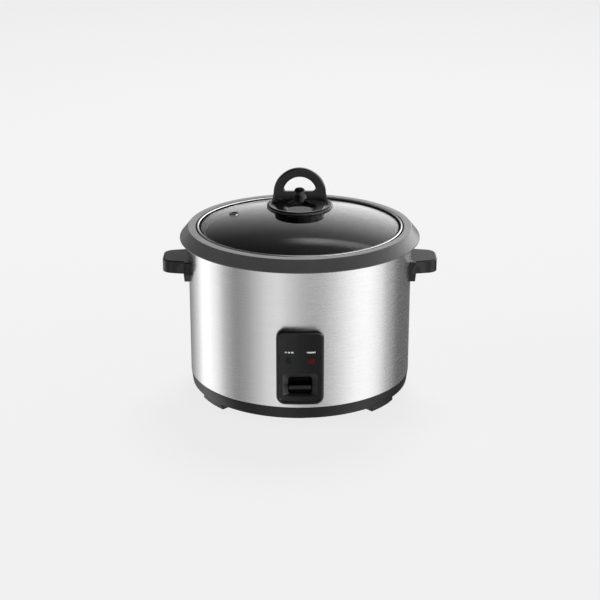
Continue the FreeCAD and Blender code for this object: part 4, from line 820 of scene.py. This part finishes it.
def make_world():
    """Studio surroundings.

    Under the horizon the tone changes with the compass angle, as tall screens round the cooker would show
    in its steel. Over the horizon it fades with height, more slowly on the right than on the left, and one
    narrow strip light hangs at the back.
    """
    world = bpy.data.worlds.new("studio")
    bpy.context.scene.world = world
    world.use_nodes = True
    n = Nodes(world.node_tree)
    place = n.split("Generated")
    share = n.math("ADD", n.math("DIVIDE", n.compass(place), TURN), 0.5)
    stops = [(degrees / 360 + 0.5, level / BRIGHTEST) for degrees, level in SCREENS]
    bands = n.ramp(share, stops, "EASE")
    fades = []
    for levels in (FADE_LEFT, FADE_RIGHT):
        stops = [(math.sin(math.radians(degrees)), level / BRIGHTEST) for degrees, level in levels]
        fades.append(n.ramp(place["Z"], stops))
    sky = n.mix(n.rise(place["X"], *FADE_TURN, "SMOOTHSTEP"), *fades)
    tone = n.mix(n.rise(place["Z"], *HORIZON, "SMOOTHSTEP"), bands, sky)
    aside = n.math("DIVIDE", place["X"], n.math("MAXIMUM", place["Y"], 0.05))
    strip_across = n.ramp(n.math("ADD", aside, 0.5), STRIP_ACROSS, "EASE")
    strip_up = n.ramp(place["Z"], STRIP_UP, "EASE")
    strip = n.math("MULTIPLY", n.math("MULTIPLY", strip_across, strip_up), STRIP_LIGHT / BRIGHTEST)
    background = world.node_tree.nodes["Background"]
    n.put(background.inputs["Color"], n.mix(1.0, tone, strip, "ADD"))
    n.put(background.inputs["Strength"], BRIGHTEST)


def make_lights():
    """One broad lamp high at the back for the top faces and a softer one on the left."""
    for name, size, energy, place in LAMPS:
        lamp = bpy.data.lights.new(name, "AREA")
        lamp.shape = "DISK"
        lamp.size = size
        lamp.energy = energy
        holder = bpy.data.objects.new(name, lamp)
        holder.location = place
        aim = LAMP_AIM - holder.location
        holder.rotation_euler = aim.to_track_quat("-Z", "Y").to_euler()
        holder.visible_glossy = False
        holder.visible_transmission = False
        bpy.context.scene.collection.objects.link(holder)


def make_camera():
    """The camera on a circle round the cooker, at the photograph's height and distance."""
    camera = bpy.data.cameras.new("camera")
    camera.sensor_width = CAMERA_SENSOR
    camera.lens = CAMERA_LENS
    camera.shift_x, camera.shift_y = CAMERA_SHIFT
    holder = bpy.data.objects.new("camera", camera)
    away = CAMERA_DISTANCE * math.cos(CAMERA_ELEVATION)
    holder.location = (away * math.sin(CAMERA_TURN), -away * math.cos(CAMERA_TURN),
                       CAMERA_AIM_Z + CAMERA_DISTANCE * math.sin(CAMERA_ELEVATION))
    holder.rotation_euler = (math.pi / 2 - CAMERA_ELEVATION, 0, CAMERA_TURN)
    bpy.context.scene.collection.objects.link(holder)
    bpy.context.scene.camera = holder


for node, item in frame["nodes"].items():
    item.data.materials.clear()
    item.data.materials.append(FINISH[SLOT_OF[node]])
for node in frame["nodes"]:
    if node not in REBUILT:
        smooth_copy(node)
make_steel_body()
make_panel_cover()
make_lid_rim()
make_vent_shade_sleeve()
make_knob()
make_coil("sensor_spring", 7.0, 1.4 * MM)
make_coil("rod_spring", 3.4, 0.9 * MM)
make_panel_marks()
make_floor()
make_world()
make_lights()
make_camera()
bpy.context.scene.view_settings.view_transform = "Standard"
